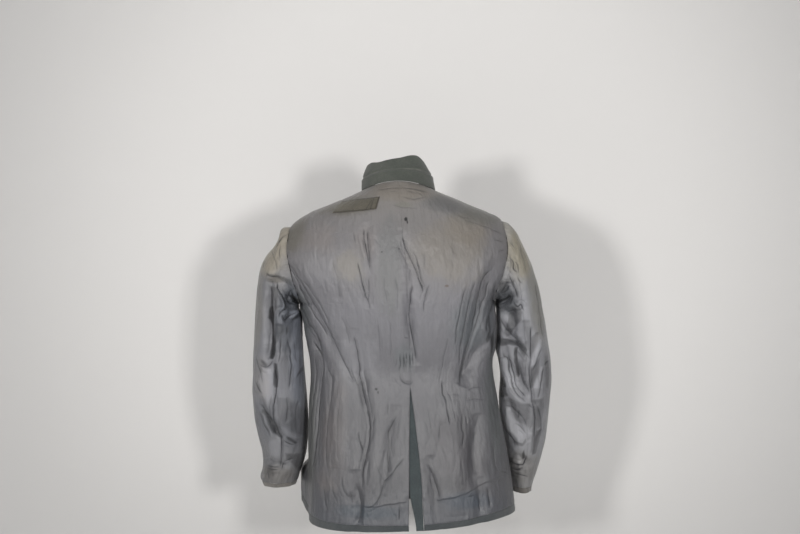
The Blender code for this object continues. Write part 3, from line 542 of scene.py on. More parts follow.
def hem_tucks(points, out):
    """Where the slack lining pouches over its own hem: how far it moves, and how dark the
    painted shadow under its edge is."""
    x, z = points[..., 0], points[..., 2]
    move, mark = np.zeros(x.shape), np.zeros(x.shape)
    for edge in HEM_TUCKS:
        line = np.array(edge) / 1000
        shown = smooth((-out[..., 1] * np.sign(line[0, 2]) - 0.1) / 0.4)
        above = z - np.interp(x, line[:, 0], line[:, 1]) - 0.0010 * ripple(x / 0.011, 0.0, 51)
        inside = smooth((x - line[0, 0]) / 0.009) * smooth((line[-1, 0] - x) / 0.009) * shown
        hangs = np.exp(-np.maximum(above, 0) / 0.013)
        move += 0.0019 * inside * smooth((above + 0.0008) / 0.0016) * hangs
        mark = np.maximum(mark, 0.85 * inside * bell(above + 0.0008, 0.0013))
    return move, mark


def crumple(u, v, seed, size=1.0):
    """The slack lining's own small uneven creases, mostly along the cloth's length."""
    bend = 0.6 * ripple(u / 0.045, v / 0.06, seed + 1)
    lines = np.abs(ripple(u / 0.019 + bend, v / 0.072 + bend, seed))
    fine = np.abs(ripple(u / 0.009 - bend, v / 0.031 + bend, seed + 2))
    wide = ripple(u / 0.050, v / 0.110, seed + 3)
    return size * (0.0013 * lines**0.8 + 0.0006 * fine**0.8 + 0.0010 * wide - 0.0008)


def facets(u, v, seed):
    """Flat planes that meet in edges, from -1 to 1."""
    near, beside, below, far, p, q = knots_round(u, v, seed)
    first = near + p * (beside - near) + q * (below - near)
    second = far + (1 - p) * (below - far) + (1 - q) * (beside - far)
    return np.where(p + q < 1, first, second)


def armhole_level(turn):
    """The level at an angle round the armhole: 0 at the shoulder, pi at the armpit."""
    return SHOULDER_LEVEL + (ARMPIT_LEVEL - SHOULDER_LEVEL) * (1 - np.cos(turn)) / 2


def side_angle(level):
    """How far round from the centre back a panel reaches: to the side, or to the armhole."""
    drop = (level - SHOULDER_LEVEL) / (ARMPIT_LEVEL - SHOULDER_LEVEL)
    drop = np.clip(drop, 0.0, 1.0)
    return math.pi / 2 - ARMHOLE_HALF_ANGLE * 2 * np.sqrt(drop * (1 - drop))


def lining_level(level, angle):
    """Moves the rows of the lowest section up, so that the lining stops above the hem."""
    band = HEM_BAND_SIDE + (HEM_BAND_BACK - HEM_BAND_SIDE) * np.clip(np.cos(angle), 0, 1) ** 2
    last = HEM_LEVEL - 1.0
    below = np.clip(level - last, 0.0, 1.0)
    return np.minimum(level, last) + below * (1.0 - band / HEM_ROW)


def level_at_height(z, side="z_back"):
    """The level at which the centre back, or with z_front the centre front, has a height."""
    heights = [-getattr(Section(*row), side) for row in BODY.values()]
    return float(np.interp(-z, heights, range(len(heights))))


def angle_at_x(level, x, middle=0.0):
    """The angle near the centre back (or front, at pi) at which each level has its x."""
    low = np.full(np.shape(level), middle - 0.6)
    high = low + 1.2
    rising = math.cos(middle) > 0
    for _ in range(36):
        half = (low + high) / 2
        under = (body(level, half)[..., 0] < x) == rising
        low, high = np.where(under, half, low), np.where(under, high, half)
    return (low + high) / 2


def vent_x(level, side):
    """The x of the left (-1) or right (1) flap's edge at a level."""
    heights, *flaps = np.array(VENT)[::-1].T
    return np.interp(body(level, np.zeros(np.shape(level)))[..., 2], heights, flaps[side > 0])


def vent_edge(level, side):
    """The angle of a flap's edge at a level."""
    return angle_at_x(level, vent_x(level, side))


def rolled(distance, size=1.0):
    """How far a sewn or turned edge rolls in, at a distance from it."""
    return -0.0010 * size * turned_in(np.abs(distance), 0.0034)


def puckered(distance, along, seed, size=1.0, reach=0.011):
    """The small gathers that a line of sewing draws up beside it."""
    gather = ripple(along / 0.0056, 0.0, seed) + 0.5 * ripple(along / 0.013, 0.0, seed + 9)
    return 0.00055 * size * gather * np.exp(-distance / reach)


def walked(points, axis=0):
    """The distance walked along the rows of a grid of points, or along its columns."""
    steps = np.linalg.norm(np.diff(points, axis=axis), axis=-1)
    start = np.zeros_like(steps.take([0], axis))
    return np.concatenate([start, np.cumsum(steps, axis=axis)], axis=axis)


def cut_map(outer, middle):
    """Distances over the cloth, in metres, across and down. Across starts at the first column
    where middle is 0, and halfway where it is 0.5."""
    across = walked(outer, 1)
    across = across - across[:, -1:] * middle
    down = walked(outer).mean(1, keepdims=True) + 0.0 * across
    return np.stack([across, down], -1)


def every(count, step):
    """Every few of a row of points, with the last."""
    return np.append(np.arange(0, count - 1, step), count - 1)


def lowest(field, rows, columns, reach):
    """The lowest value near each kept row and column of a field."""
    near = np.pad(field, reach, mode="edge")
    for axis, size in enumerate(field.shape):
        steps = (near.take(np.arange(k, k + size), axis) for k in range(2 * reach + 1))
        near = np.minimum.reduce(list(steps))
    return near[np.ix_(rows, columns)]


# What each point of cloth knows: how deep in a crease it lies, which is painted darker as
# shade and grime, its distance from the nearest crease's line, how keen that line is, and how
# pale or dark its plane is painted as shade and gloss.
MARKS = ("crease", "line", "keen", "tone")


def tucked_under(move, share):
    """Lowers cloth's folds by a share, so that it lies clear below those of the piece over it."""
    low = lowest(move, *(np.arange(size) for size in move.shape), 5)
    return move + (low - move) * share


def two_faces(base, way, move, edge, out):
    """The grid of points of a lined cloth's face, that of its back, which is a third as fine,
    and the rows and columns that the back follows."""
    kept = [every(size, 3) for size in move.shape]
    thin = np.ix_(*kept)
    face = base + way * (out + move + edge)[..., None]
    back = base[thin] + way[thin] * (out[thin] + lowest(move, *kept, 3) - WALL)[..., None]
    return face, back, kept


def shell(name, outer, inner, face_cloth, back_cloth, mark=None, middle=0.5, kept=None, ring=False):
    """A thin piece of cloth between two grids of points, with face_cloth outside and
    back_cloth inside. Where the inner grid is coarser, kept gives the outer rows and columns
    that it follows. A ring's last column lies on its first and is joined to it."""
    rows, columns = outer.shape[:2]
    kept = kept or (np.arange(rows), np.arange(columns))
    front = np.arange(rows * columns).reshape(rows, columns)
    back = front.size + np.arange(inner.size // 3).reshape(inner.shape[:2])
    quads = [
        np.stack([g[:-1, :-1], g[:-1, 1:], g[1:, 1:], g[1:, :-1]], -1).reshape(-1, 4)
        for g in (front, back[:, ::-1])
    ]
    edges = [(front[0], back[0], kept[1], -1), (front[-1], back[-1], kept[1], 1)]
    if not ring:
        edges += [(front[:, 0], back[:, 0], kept[0], 1), (front[:, -1], back[:, -1], kept[0], -1)]
    rims = []
    for near, far, at, turn in edges:
        owner = np.searchsorted(at, np.arange(len(near) - 1), "right") - 1
        rims.append(np.stack([near[:-1], near[1:], far[owner]], 1)[:, ::turn])
        rims.append(np.stack([near[at[1:]], far[1:], far[:-1]], 1)[:, ::turn])
    inside = np.zeros(sum(len(f) for f in quads + rims), np.int32)
    inside[len(quads[0]) : len(quads[0]) + len(quads[1])] = 1
    quads, rims = np.concatenate(quads), np.concatenate(rims)
    points = np.concatenate([outer.reshape(-1, 3), inner.reshape(-1, 3)])
    a, b, c = (points[quads[: (rows - 1) * (columns - 1), k]] for k in (0, 1, 2))
    thick = outer[np.ix_(*kept)] - inner
    facing = np.cross(b - a, c - a).reshape(rows - 1, columns - 1, 3)
    low, left = (np.minimum(k, size - 2) for k, size in zip(kept, (rows, columns)))
    if (facing[np.ix_(low, left)] * thick).sum() < 0:
        quads, rims = quads[:, ::-1], rims[:, ::-1]
    cut = cut_map(outer, middle)
    mark = np.zeros((rows, columns)) if mark is None else mark
    if mark.ndim == 2:
        mark = np.stack([mark, 0 * mark + NO_LINE, 0 * mark, 0 * mark], -1)
    cut = np.concatenate([cut.reshape(-1, 2), cut[np.ix_(*kept)].reshape(-1, 2)])
    cut = cut[np.concatenate([quads.ravel(), rims.ravel()])]
    mark = np.concatenate([mark.reshape(-1, 4), mark[np.ix_(*kept)].reshape(-1, 4)])
    if ring:
        stays = np.arange(len(points)) % columns != columns - 1
        place = np.cumsum(stays) - 1
        place[~stays] = place[np.flatnonzero(~stays) - columns + 1]
        points, mark, quads, rims = points[stays], mark[stays], place[quads], place[rims]
    mesh = meshed(name, points.tolist(), quads.tolist() + rims.tolist(), face_cloth, back_cloth)
    mesh.uv_layers.new(name="cut").data.foreach_set("uv", cut.ravel())
    for column, word in enumerate(MARKS):
        values = np.ascontiguousarray(mark[:, column], np.float32)
        mesh.attributes.new(word, "FLOAT", "POINT").data.foreach_set("value", values)
    mesh.polygons.foreach_set("material_index", inside)
    mesh.shade_smooth()
    made = placed(name, mesh)
    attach(made, "root")
    return made


def meshed(name, points, faces, *finishes):
    """A mesh of points and faces, with its materials."""
    mesh = bpy.data.meshes.new(name)
    mesh.from_pydata(points, [], faces)
    for finish in finishes:
        mesh.materials.append(finish)
    return mesh


def placed(name, data):
    """A new object that holds a mesh, a light or a camera."""
    made = bpy.data.objects.new(name, data)
    bpy.context.scene.collection.objects.link(made)
    return made


def cloth_for(made, node, slot, width, length, area, held="draped", **rests):
    """Hides the solid whose place a piece of cloth takes."""
    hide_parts(node)


def body_crumple(level, angle):
    """The body's small uneven creases. They die away at the neck, the armholes and the lap."""
    held = np.abs(np.abs(angle) - side_angle(level)) * BODY_RADIAN
    armhole = (level > SHOULDER_LEVEL - 0.4) & (level < ARMPIT_LEVEL + 0.25)
    calm = np.where(armhole, smooth(held / 0.014), 1.0)
    calm = calm * smooth(level / 0.6) * smooth((np.abs(math.pi - np.abs(angle)) - 0.16) / 0.2)
    at_the_side = smooth((np.abs(angle) - 0.75) / 0.6) * smooth((level - 5.5) / 1.5)
    u, v = angle * BODY_RADIAN + 3.0, level * MEAN_LEVEL
    return crumple(u, v, 11, 0.42 + 0.40 * at_the_side) * calm


def body_relief(level, angle):
    """The body's points, the way out of the cloth, how far its folds and creases move it, and
    the creases' marks."""
    level, angle = matched(level, angle)
    points = body(level, angle)
    way = normals(body, level, angle)
    move = fold_depth(points, way, BACK_FOLDS, FRONT_FOLDS) * smooth(level / 2.0)
    fine, mark = narrow_creases(points, way, BACK_CREASES, FRONT_CREASES)
    pouch, tuck_shadow = hem_tucks(points, way)
    move = move + fine * smooth(level / 0.25) + pouch + body_crumple(level, angle)
    flat, mark[..., 3] = satin_planes(points, way, BACK_PLANES, {})
    # The painted shadow under the tucks' edges joins the creases' painted shade.
    mark[..., 0] = np.maximum(mark[..., 0], tuck_shadow)
    move = move + flat
    for side in (-1, 1):
        press = pressed(points[..., 2], side)
        lies = smooth((side * np.sin(angle) - 0.80) / 0.17) * np.clip(press / 0.0004, 0, 1)
        move = move + lies * (press - move)
    return points, way, move, mark


# For the left and the right armpit: distances below the frame's origin, and how far the
# cloth stands out there.
ARMPIT_PRESS = (
    (
        (0.2385, 0.2405, 0.245, 0.251, 0.258, 0.276, 0.286),
        (0, 0.0012, 0.0021, 0.0021, 0.0012, 0.0012, 0),
    ),
    (
        (0.2295, 0.2325, 0.237, 0.243, 0.250, 0.270, 0.286, 0.298, 0.304, 0.315, 0.335, 0.352),
        (0, 0.0014, 0.0020, 0.0020, 0.0012, 0.0009, 0.0003, 0.0003, 0.0006, 0.0013, 0.0025, 0),
    ),
)


def pressed(z, side):
    """How far the cloth below an armpit stands out, where sleeve and body lie on each other."""
    drops, stands = ARMPIT_PRESS[side > 0]
    return np.interp(-z, drops, stands)


def raised(relief, out):
    """The points of a relief, moved out of the cloth by its folds and creases and a distance
    more, and its marks."""
    points, way, move, mark = relief
    return points + way * (move + out)[..., None], mark


def body_cloth(level, angle, out=0.0):
    """Points on the folded and creased body, a distance out from the lining's face."""
    return raised(body_relief(level, angle), out)


def across_panel(level, start, end, columns):
    """The angles across each row of a panel, and each one's distance from its two edges."""
    part = np.linspace(0.0, 1.0, 161)
    angle = start[:, None] + (end - start)[:, None] * part
    run = walked(body(lining_level(level[:, None], angle), angle), 1)
    close = SEWN_GAP / 2 + np.array([0.0, 0.0004, 0.0010, 0.0020, 0.0034])
    rows, first, second = [], [], []
    for r in range(len(level)):
        reach = run[r, -1]
        inner_part = np.linspace(close[-1], reach - close[-1], columns)[1:-1]
        place = np.concatenate([close, inner_part, reach - close[::-1]])
        rows.append(np.interp(place, run[r], angle[r]))
        first.append(place)
        second.append(reach - place)
    return np.array(rows), np.array(first), np.array(second)


def panel_levels(pitch):
    """The rows of a body panel, closer together at the neck seam and the lining's hem."""
    top = [0.0, 0.012, 0.030, 0.060, 0.100]
    shoulder = np.linspace(0.14, SHOULDER_LEVEL, int(0.140 / pitch))
    armhole = armhole_level(np.linspace(0.0, math.pi, int(0.165 / pitch)))[1:]
    skirt = np.linspace(ARMPIT_LEVEL, HEM_LEVEL - 0.05, int(0.440 / pitch))[1:]
    low = HEM_LEVEL - np.array([0.032, 0.018, 0.009, 0.0035, 0.0])
    return np.concatenate([top, shoulder, armhole, skirt, low])


def body_panel(name, level, start, end, columns, roll=1.0, step=None):
    """One quarter of the body, its edges rolled in and puckered at the seams."""
    angle, first, second = across_panel(level, start, end, columns)
    row = lining_level(level[:, None], angle)
    base, way, move, mark = body_relief(row, angle)
    out = np.zeros(angle.shape) if step is None else step(base)
    below = (HEM_LEVEL - level[:, None]) * SKIRT_LEVEL + 0.0 * angle
    above = level[:, None] * NECK_LEVEL + 0.0 * angle
    edge = rolled(first, roll) + rolled(second, 0.45) + rolled(above, 0.3) + rolled(below, 0.6)
    seed = len(name)
    at_armhole = smooth((level - SHOULDER_LEVEL + 0.3) / 0.3)
    at_armhole = (at_armhole * smooth((ARMPIT_LEVEL + 0.3 - level) / 0.3))[:, None]
    edge += puckered(first, walked(base[:, :1]), seed, 0.7)
    edge += puckered(second, walked(base[:, -1:]), seed + 1, 1.0 + 1.2 * at_armhole)
    edge += puckered(below, first, seed + 2, 1.3, 0.014)
    mark[..., 0] = np.maximum(mark[..., 0], 0.12 * at_armhole * bell(second, 0.0016))
    edge = np.clip(edge, -0.0014, 0.0012)
    under = out / -UNDER
    move, edge = tucked_under(move, under), np.where(edge > 0, edge * (1 - under), edge)
    outer, inner, kept = two_faces(base, way, move, edge, out)
    return shell(name, outer, inner, body_lining, field_wool, mark, 0.0, kept)


def plug(node, links):
    """Gives a node's inputs their numbers and colours, or joins them to others' sockets."""
    for socket, value in links.items():
        if isinstance(value, bpy.types.NodeSocket):
            node.id_data.links.new(value, node.inputs[socket])
        else:
            node.inputs[socket].default_value = value
    return node


def add(tree, kind, links=None, **settings):
    """A shader node with its settings."""
    made = tree.nodes.new("ShaderNode" + kind)
    for name, value in settings.items():
        setattr(made, name, value)
    return plug(made, links or {})


def after(kind, links, **settings):
    """A shader node beside the one that its first linked input comes from."""
    sockets = (value for value in links.values() if isinstance(value, bpy.types.NodeSocket))
    return add(next(sockets).id_data, kind, links, **settings)


def maths(operation, *values):
    return after("Math", dict(enumerate(values)), operation=operation).outputs[0]


def vectors(operation, *values):
    return after("VectorMath", dict(enumerate(values)), operation=operation).outputs


def remapped(value, low, high, to_low=0.0, to_high=1.0):
    """A value carried from one range to another with a soft start and end."""
    links = {0: value, 1: low, 2: high, 3: to_low, 4: to_high}
    return after("MapRange", links, interpolation_type="SMOOTHSTEP").outputs[0]


def mixed(share, first, second, blend="MIX"):
    """A share of the way from one colour to another."""
    made = add(first.id_data if hasattr(first, "id_data") else share.id_data, "Mix")
    made.data_type, made.blend_type = "RGBA", blend
    colours = {6: first, 7: second}
    for socket, value in colours.items():
        colours[socket] = value if hasattr(value, "id_data") else (*value, 1.0)
    return plug(made, {0: share, **colours}).outputs[2]


def shaded(colour, value):
    """A colour made paler or darker by a value, which leaves it as it is at 1."""
    grey = after("CombineColor", {0: value, 1: value, 2: value}).outputs[0]
    return mixed(1.0, colour, grey, "MULTIPLY")


def noise(vector, scale, detail=2.0, rough=0.5):
    links = {"Vector": vector, "Scale": scale, "Detail": detail, "Roughness": rough}
    return after("TexNoise", links).outputs[0]


def streaks(vector, across, down, detail, rough):
    """Noise with its own scale each way."""
    return noise(vectors("MULTIPLY", vector, (across, down, 1.0))[0], 1.0, detail, rough)


def bumped(height, distance, strength=1.0, **under):
    """The relief that a height gives the light, over the relief under it."""
    links = {"Strength": strength, "Distance": distance, "Height": height, **under}
    return after("Bump", links).outputs[0]


def effect(name, inputs, *outputs):
    """An empty node group, the sockets that come into it, and the node that ends it."""
    tree = bpy.data.node_groups.new(name, "ShaderNodeTree")
    for socket, kind in inputs.items():
        tree.interface.new_socket(socket, in_out="INPUT", socket_type="NodeSocket" + kind)
    for socket in outputs:
        tree.interface.new_socket(socket, in_out="OUTPUT", socket_type="NodeSocketFloat")
    return tree, tree.nodes.new("NodeGroupInput").outputs, tree.nodes.new("NodeGroupOutput")


def use(group, links):
    return after("Group", links, node_tree=group).outputs


# Satin: fine warp threads run down the cloth, with a slight slant where they cross, and
# some threads are lighter or darker all the way down.
satin_weave, given, gives = effect(
    "satin weave", {"Cut": "Vector", "Threads": "Float"}, "Height", "Streak"
)
across, down, _ = after("SeparateXYZ", {0: given["Cut"]}).outputs
warp = maths("MULTIPLY", across, given["Threads"])
weft = maths("MULTIPLY", down, given["Threads"])
slant = maths("ADD", warp, maths("MULTIPLY", weft, 0.5))
height = maths("MULTIPLY_ADD", maths("ADD", maths("SINE", warp), maths("SINE", slant)), 0.25, 0.5)
broad = maths("MULTIPLY", streaks(given["Cut"], 95.0, 4.0, 3.0, 0.6), 0.6)
thin = maths("MULTIPLY", streaks(given["Cut"], 420.0, 9.0, 2.0, 0.6), 0.4)
plug(gives, {"Height": height, "Streak": maths("ADD", broad, thin)})

# Slack cloth: the small soft crumples between the sewn creases.
slack_cloth, given, gives = effect("slack cloth", {"Cut": "Vector", "Seed": "Float"}, "Height", "Cloud")
moved = vectors("ADD", given["Cut"], given["Seed"])[0]
lines = maths("ABSOLUTE", maths("SUBTRACT", streaks(moved, 46.0, 15.0, 2.0, 0.5), 0.5))
small = maths("MULTIPLY", streaks(moved, 150.0, 90.0, 2.0, 0.5), 0.35)
plug(gives, {"Height": maths("MULTIPLY_ADD", lines, 1.6, small), "Cloud": noise(moved, 9.0, 4.0, 0.6)})

# A crease's line: a thin dark bottom of painted shade where the cloth is folded sharply,
# and a bump with one side steep with a lip, and the other gentle.
crease_line, given, gives = effect("crease line", {"Line": "Float", "Keen": "Float"}, "Mask", "Height")


def hump(value, centre, size):
    """1 at a centre, falling away softly on both sides."""
    off = maths("DIVIDE", maths("SUBTRACT", value, centre), size)
    return maths("EXPONENT", maths("MULTIPLY", maths("MULTIPLY", off, off), -1.0))


line, keen = given["Line"], given["Keen"]
bottom = maths("EXPONENT", maths("MULTIPLY", maths("ABSOLUTE", line), -0.8))
height = maths("SUBTRACT", maths("MULTIPLY", hump(line, 2.0, 0.9), 0.4), bottom)
plug(gives, {
    "Mask": maths("MULTIPLY", hump(line, 0.0, 0.70), keen),
    "Height": maths("MULTIPLY", height, keen),
})

# A patch of colour, for a stain, a worn place, painted shade or painted highlight: full in the middle of
# its own round, ragged at the edge.
places = {"Place": "Vector", "Centre": "Vector", "Reach": "Vector", "Ragged": "Float"}
stained, given, gives = effect("stain", places, "Mask")
off = vectors("DIVIDE", vectors("SUBTRACT", given["Place"], given["Centre"])[0], given["Reach"])[0]
torn = maths("MULTIPLY", maths("SUBTRACT", noise(off, 1.7, 4.0, 0.6), 0.5), given["Ragged"])
far = maths("ADD", vectors("LENGTH", off)[1], torn)
plug(gives, {"Mask": remapped(far, 1.15, 0.45)})

# Wool: short fibres lie every way over a dense cloth, with paler hairs among them.
wool_nap, given, gives = effect("wool nap", {"Cut": "Vector"}, "Height", "Fleck", "Cloud")
felt = maths("MULTIPLY", noise(given["Cut"], 260.0, 3.0, 0.6), 0.55)
plug(gives, {
    "Height": maths("MULTIPLY_ADD", noise(given["Cut"], 1500.0, 3.0, 0.7), 0.45, felt),
    "Fleck": remapped(streaks(given["Cut"], 2600.0, 500.0, 1.0, 0.5), 0.56, 0.74),
    "Cloud": noise(given["Cut"], 22.0, 4.0, 0.6),
})


def new_material(name, roughness, **sockets):
    made = bpy.data.materials.new(name)
    made.use_nodes = True
    shader = made.node_tree.nodes["Principled BSDF"]
    plug(shader, {socket.replace("_", " "): value for socket, value in sockets.items()})
    return made, made.node_tree, plug(shader, {"Roughness": roughness})


RAMP_FOOT, RAMP_RISE = -0.72, 0.76
# The colour painted into creases as shade and grime, and that of a sharp crease's bottom, painted as
# shade.
FOLD_SHADE_AND_GRIME, FOLD_BOTTOM_SHADE = (0.035, 0.036, 0.042), (0.010, 0.011, 0.014)


def lining_cloth(name, heights, stains_and_painted_light, seed, roughness=0.42, crumpled=0.0024, crease_shade_and_grime=0.30, gloss=0.62):
    """Old grey satin. Its colour changes with height, and patches of stain and of painted shade
    and highlight lie over it. Creases are painted darker as shade and grime, a sharp crease's
    bottom as a thin line of painted shade, and the flat planes paler or darker as painted gloss
    and shade."""
    sheen = {"Sheen_Weight": 0.06, "Sheen_Roughness": 0.4}
    made, tree, shader = new_material(name, roughness, Specular_IOR_Level=gloss, **sheen)
    cut = add(tree, "UVMap", uv_map="cut").outputs[0]
    place = add(tree, "TexCoord").outputs["Object"]
    height = add(tree, "SeparateXYZ", {0: place}).outputs[2]
    cloth = use(slack_cloth, {"Cut": cut, "Seed": seed})
    weave = use(satin_weave, {"Cut": cut, "Threads": 9500.0})
    uneven = maths("MULTIPLY_ADD", maths("SUBTRACT", cloth["Cloud"], 0.5), 0.16, height)
    share = add(tree, "MapRange", {0: uneven, 1: RAMP_FOOT, 2: RAMP_FOOT + RAMP_RISE}).outputs[0]
    ramp = add(tree, "ValToRGB", {0: share})
    stops = ramp.color_ramp.elements
    while len(stops) < len(heights):
        stops.new(0.5)
    for stop, (z, colour) in zip(stops, sorted(heights.items())):
        stop.position = (z - RAMP_FOOT) / RAMP_RISE
        stop.color = (*colour, 1.0)
    colour = ramp.outputs[0]
    # Stains, and patches of painted shade and highlight.
    for row in stains_and_painted_light.values():
        centre, reach = np.reshape(row[:6], (2, 3)) / 1000
        links = {"Place": place, "Centre": centre, "Reach": reach, "Ragged": row[10]}
        colour = mixed(maths("MULTIPLY", use(stained, links)["Mask"], row[9]), colour, row[6:9])
    colour = shaded(colour, remapped(weave["Streak"], 0.30, 0.70, 0.95, 1.045))
    marks = {word: add(tree, "Attribute", attribute_name=word).outputs["Fac"] for word in MARKS}
    # The flat planes' painted shade and painted highlight.
    colour = shaded(colour, maths("POWER", 2.0, marks["tone"]))
    # Creases painted darker as shade and grime, and a sharp crease's bottom as a thin line of painted
    # shade.
    colour = mixed(maths("MULTIPLY", marks["crease"], crease_shade_and_grime), colour, FOLD_SHADE_AND_GRIME)
    fold = use(crease_line, {"Line": marks["line"], "Keen": marks["keen"]})
    colour = mixed(maths("MULTIPLY", fold["Mask"], 0.75), colour, FOLD_BOTTOM_SHADE)
    bump = bumped(weave["Height"], 0.0002, 0.5)
    bump = bumped(cloth["Height"], crumpled, Normal=bump)
    bump = bumped(fold["Height"], 0.0006, Normal=bump)
    rough = remapped(cloth["Cloud"], 0.3, 0.7, roughness - 0.06, roughness + 0.08)
    plug(shader, {"Base Color": colour, "Roughness": rough, "Normal": bump})
    return made


def wool_cloth(name, colour, pale, dark, lined=(0.020, 0.022, 0.022)):
    """Field-grey wool with a felted nap. Its creases are painted darker as shade, and the lines
    rubbed or sewn on it have a colour of their own; both take the lined colour."""
    sheen = {"Sheen_Weight": 0.25, "Sheen_Roughness": 0.6}
    made, tree, shader = new_material(name, 0.92, Specular_IOR_Level=0.2, **sheen)
    nap = use(wool_nap, {"Cut": add(tree, "UVMap", uv_map="cut").outputs[0]})
    tone = mixed(remapped(nap["Cloud"], 0.3, 0.7), dark, colour)
    tone = mixed(maths("MULTIPLY", nap["Fleck"], 0.5), tone, pale)
    tone = shaded(tone, remapped(nap["Height"], 0.3, 0.7, 0.82, 1.14))
    # The crease mark: painted crease shade, sewn lines and rubbed places, in the lined colour.
    crease = add(tree, "Attribute", attribute_name="crease").outputs["Fac"]
    tone = mixed(maths("MULTIPLY", crease, 0.7), tone, lined)
    plug(shader, {"Base Color": tone, "Normal": bumped(nap["Height"], 0.0006, 0.9)})
    return made


# The body lining's colour by height: paler at the neck and darker towards the hem, partly as painted
# shade.
BODY_COLOURS = {
    -0.70: (0.073, 0.078, 0.091),
    -0.60: (0.082, 0.082, 0.090),
    -0.45: (0.099, 0.099, 0.108),
    -0.25: (0.150, 0.149, 0.165),
    -0.08: (0.161, 0.154, 0.157),
    0.00: (0.176, 0.166, 0.158),
}

# Stains, worn places and painted shade: the middle and the reach in x, y and z, in
# millimetres, the colour, how strong it is, and how ragged its edge is. The dark patches at
# the armpits, the sides, the right flank and the hem pleats are painted shade, and the dark
# ones low on the skirt are partly painted shade.
BACK_STAINS_AND_SHADE = table("""
shoulder seam, left: -121 -80 -36 90 60 24 .12 .112 .094 .8 .9
shoulder point, left: -225 -60 -88 42 100 50 .118 .11 .092 .75 .9
neck: 0 -80 -8 80 60 24 .165 .146 .124 .75 1
under the patch: -171 -110 -103 50 60 36 .186 .168 .162 .55 1.3
left blade tide: -101 -110 -159 36 60 36 .196 .182 .16 .6 1.4
left blade: -69 -110 -113 26 50 36 .186 .168 .164 .45 1.4
right blade: 101 -110 -127 88 60 75 .172 .156 .136 .7 1.2
right blade, upper: 141 -100 -86 52 50 40 .176 .156 .132 .6 1.3
right shoulder: 177 -80 -48 75 80 34 .108 .106 .095 .8 .9
right of the neck: 95 -80 -32 55 60 22 .104 .104 .106 .75 1
olive spot: 8 -90 -35 20 50 7 .138 .138 .11 .45 .8
left hem pleat: -86.5 -130 -655 5.5 50 24 .028 .032 .042 .75 .6
right hem pleat: 170 -130 -628 4.5 50 24 .034 .038 .05 .65 .7
right hem pleat, dark: 180 -130 -634 2.8 50 10 .012 .013 .018 .8 .6
yoke: 26 -100 -70 32 50 30 .152 .146 .142 .35 1.3
down the middle: -20 -120 -167 30 50 120 .113 .117 .118 .62 1.2
right flank: 141 -110 -288 46 80 75 .084 .097 .107 .6 1.1
small of the back: 10 -110 -348 24 50 36 .113 .126 .133 .5 1.2
left waist: -85 -110 -350 50 50 65 .182 .182 .198 .8 1.2
left skirt: -145 -110 -480 46 60 130 .112 .101 .102 .6 1.2
left skirt, low: -161 -120 -590 42 60 50 .127 .115 .113 .6 1.2
right skirt: 121 -120 -535 72 60 90 .059 .056 .063 .65 1.2
mid skirt, low: -30 -120 -603 50 60 45 .056 .057 .064 .55 1.1
right skirt, low: 100 -120 -610 48 60 35 .048 .048 .053 .5 1.1
hem, left: -70 -130 -653 88 50 17 .048 .059 .074 .85 .5
hem, right: 145 -130 -632 72 50 23 .053 .064 .082 .8 .6
left side: -195 -30 -500 30 100 180 .084 .087 .085 .8 .9
right side: 198 -30 -430 28 100 150 .086 .093 .095 .7 .9
left armpit: -205 -50 -270 28 80 70 .088 .095 .099 .8 .8
right armpit: 183 -60 -262 14 70 62 .056 .061 .069 .7 1
rust mark: 94 -120 -199 5 20 3 .08 .055 .04 .8 1.2
torn hole: 12.1 -100 -64.5 4.2 40 5.2 .006 .006 .007 1 .9
its tail: 15 -100 -70.5 2 40 4 .01 .01 .011 .9 .9
hole at the waist: -48.4 -100 -409 3.6 40 3.4 .008 .008 .009 1 .9
its tail below: -44.5 -100 -415.5 1.8 40 3.8 .01 .01 .011 .95 .9
speck 1: -36.3 -110 -130.8 2 40 2.2 .02 .02 .022 .9 .8
speck 2: -2 -110 -124.7 1.8 40 1.8 .026 .026 .028 .8 .8
""")

body_lining = lining_cloth("body lining", BODY_COLOURS, BACK_STAINS_AND_SHADE, 2.0)
field_wool = wool_cloth(
    "field-grey wool", (0.070, 0.078, 0.074), (0.14, 0.15, 0.14), (0.046, 0.054, 0.054)
)

# The cut of each quarter of the lining that shows: its width and length flat, and its area.
PANEL_CUT = {
    "back_left": (0.296, 0.850, 0.192),
    "back_right": (0.275, 0.835, 0.172),
    "front_left": (0.372, 0.850, 0.191),
    "front_right": (0.336, 0.835, 0.196),
}
levels = panel_levels(0.0015)
vent_top = level_at_height(VENT[0][0])
for name, side in (("back_left", -1), ("back_right", 1)):
    seam = np.where(levels <= vent_top, 0.0, vent_edge(np.maximum(levels, vent_top), side))
    roll = np.where(levels <= vent_top, 0.12, 1.0)[:, None]
    panel = body_panel(name + "_cloth", levels, seam, side * side_angle(levels), 140, roll)
    cloth_for(panel, name, "lining", *PANEL_CUT[name])

# --------------------------------------
# Fronts, left and right. Each is cut like the back, with a straight edge past the middle,
# where the left one lies over the right one and five buttons hold them together.
# --------------------------------------

LAP, LAP_RAMP = 0.025, 0.018


def lap_step(points):
    """The front on the wearer's right steps in to lie under the other one."""
    rows = [Section(*row) for row in BODY.values()]
    middle = np.interp(-points[..., 2], [-r.z_front for r in rows], [r.x_front for r in rows])
    past = middle + LAP + 0.002 + LAP_RAMP - points[..., 0]
    return -UNDER * smooth(past / LAP_RAMP)


def front_reach(levels, side):
    """The angles of a front's free edge and of its seam at the side."""
    middle = body(levels, np.full(len(levels), math.pi))[:, 0]
    edge = angle_at_x(levels, middle - side * LAP, math.pi)
    return edge - (0.0 if side > 0 else 2 * math.pi), side * (math.pi - side_angle(levels))


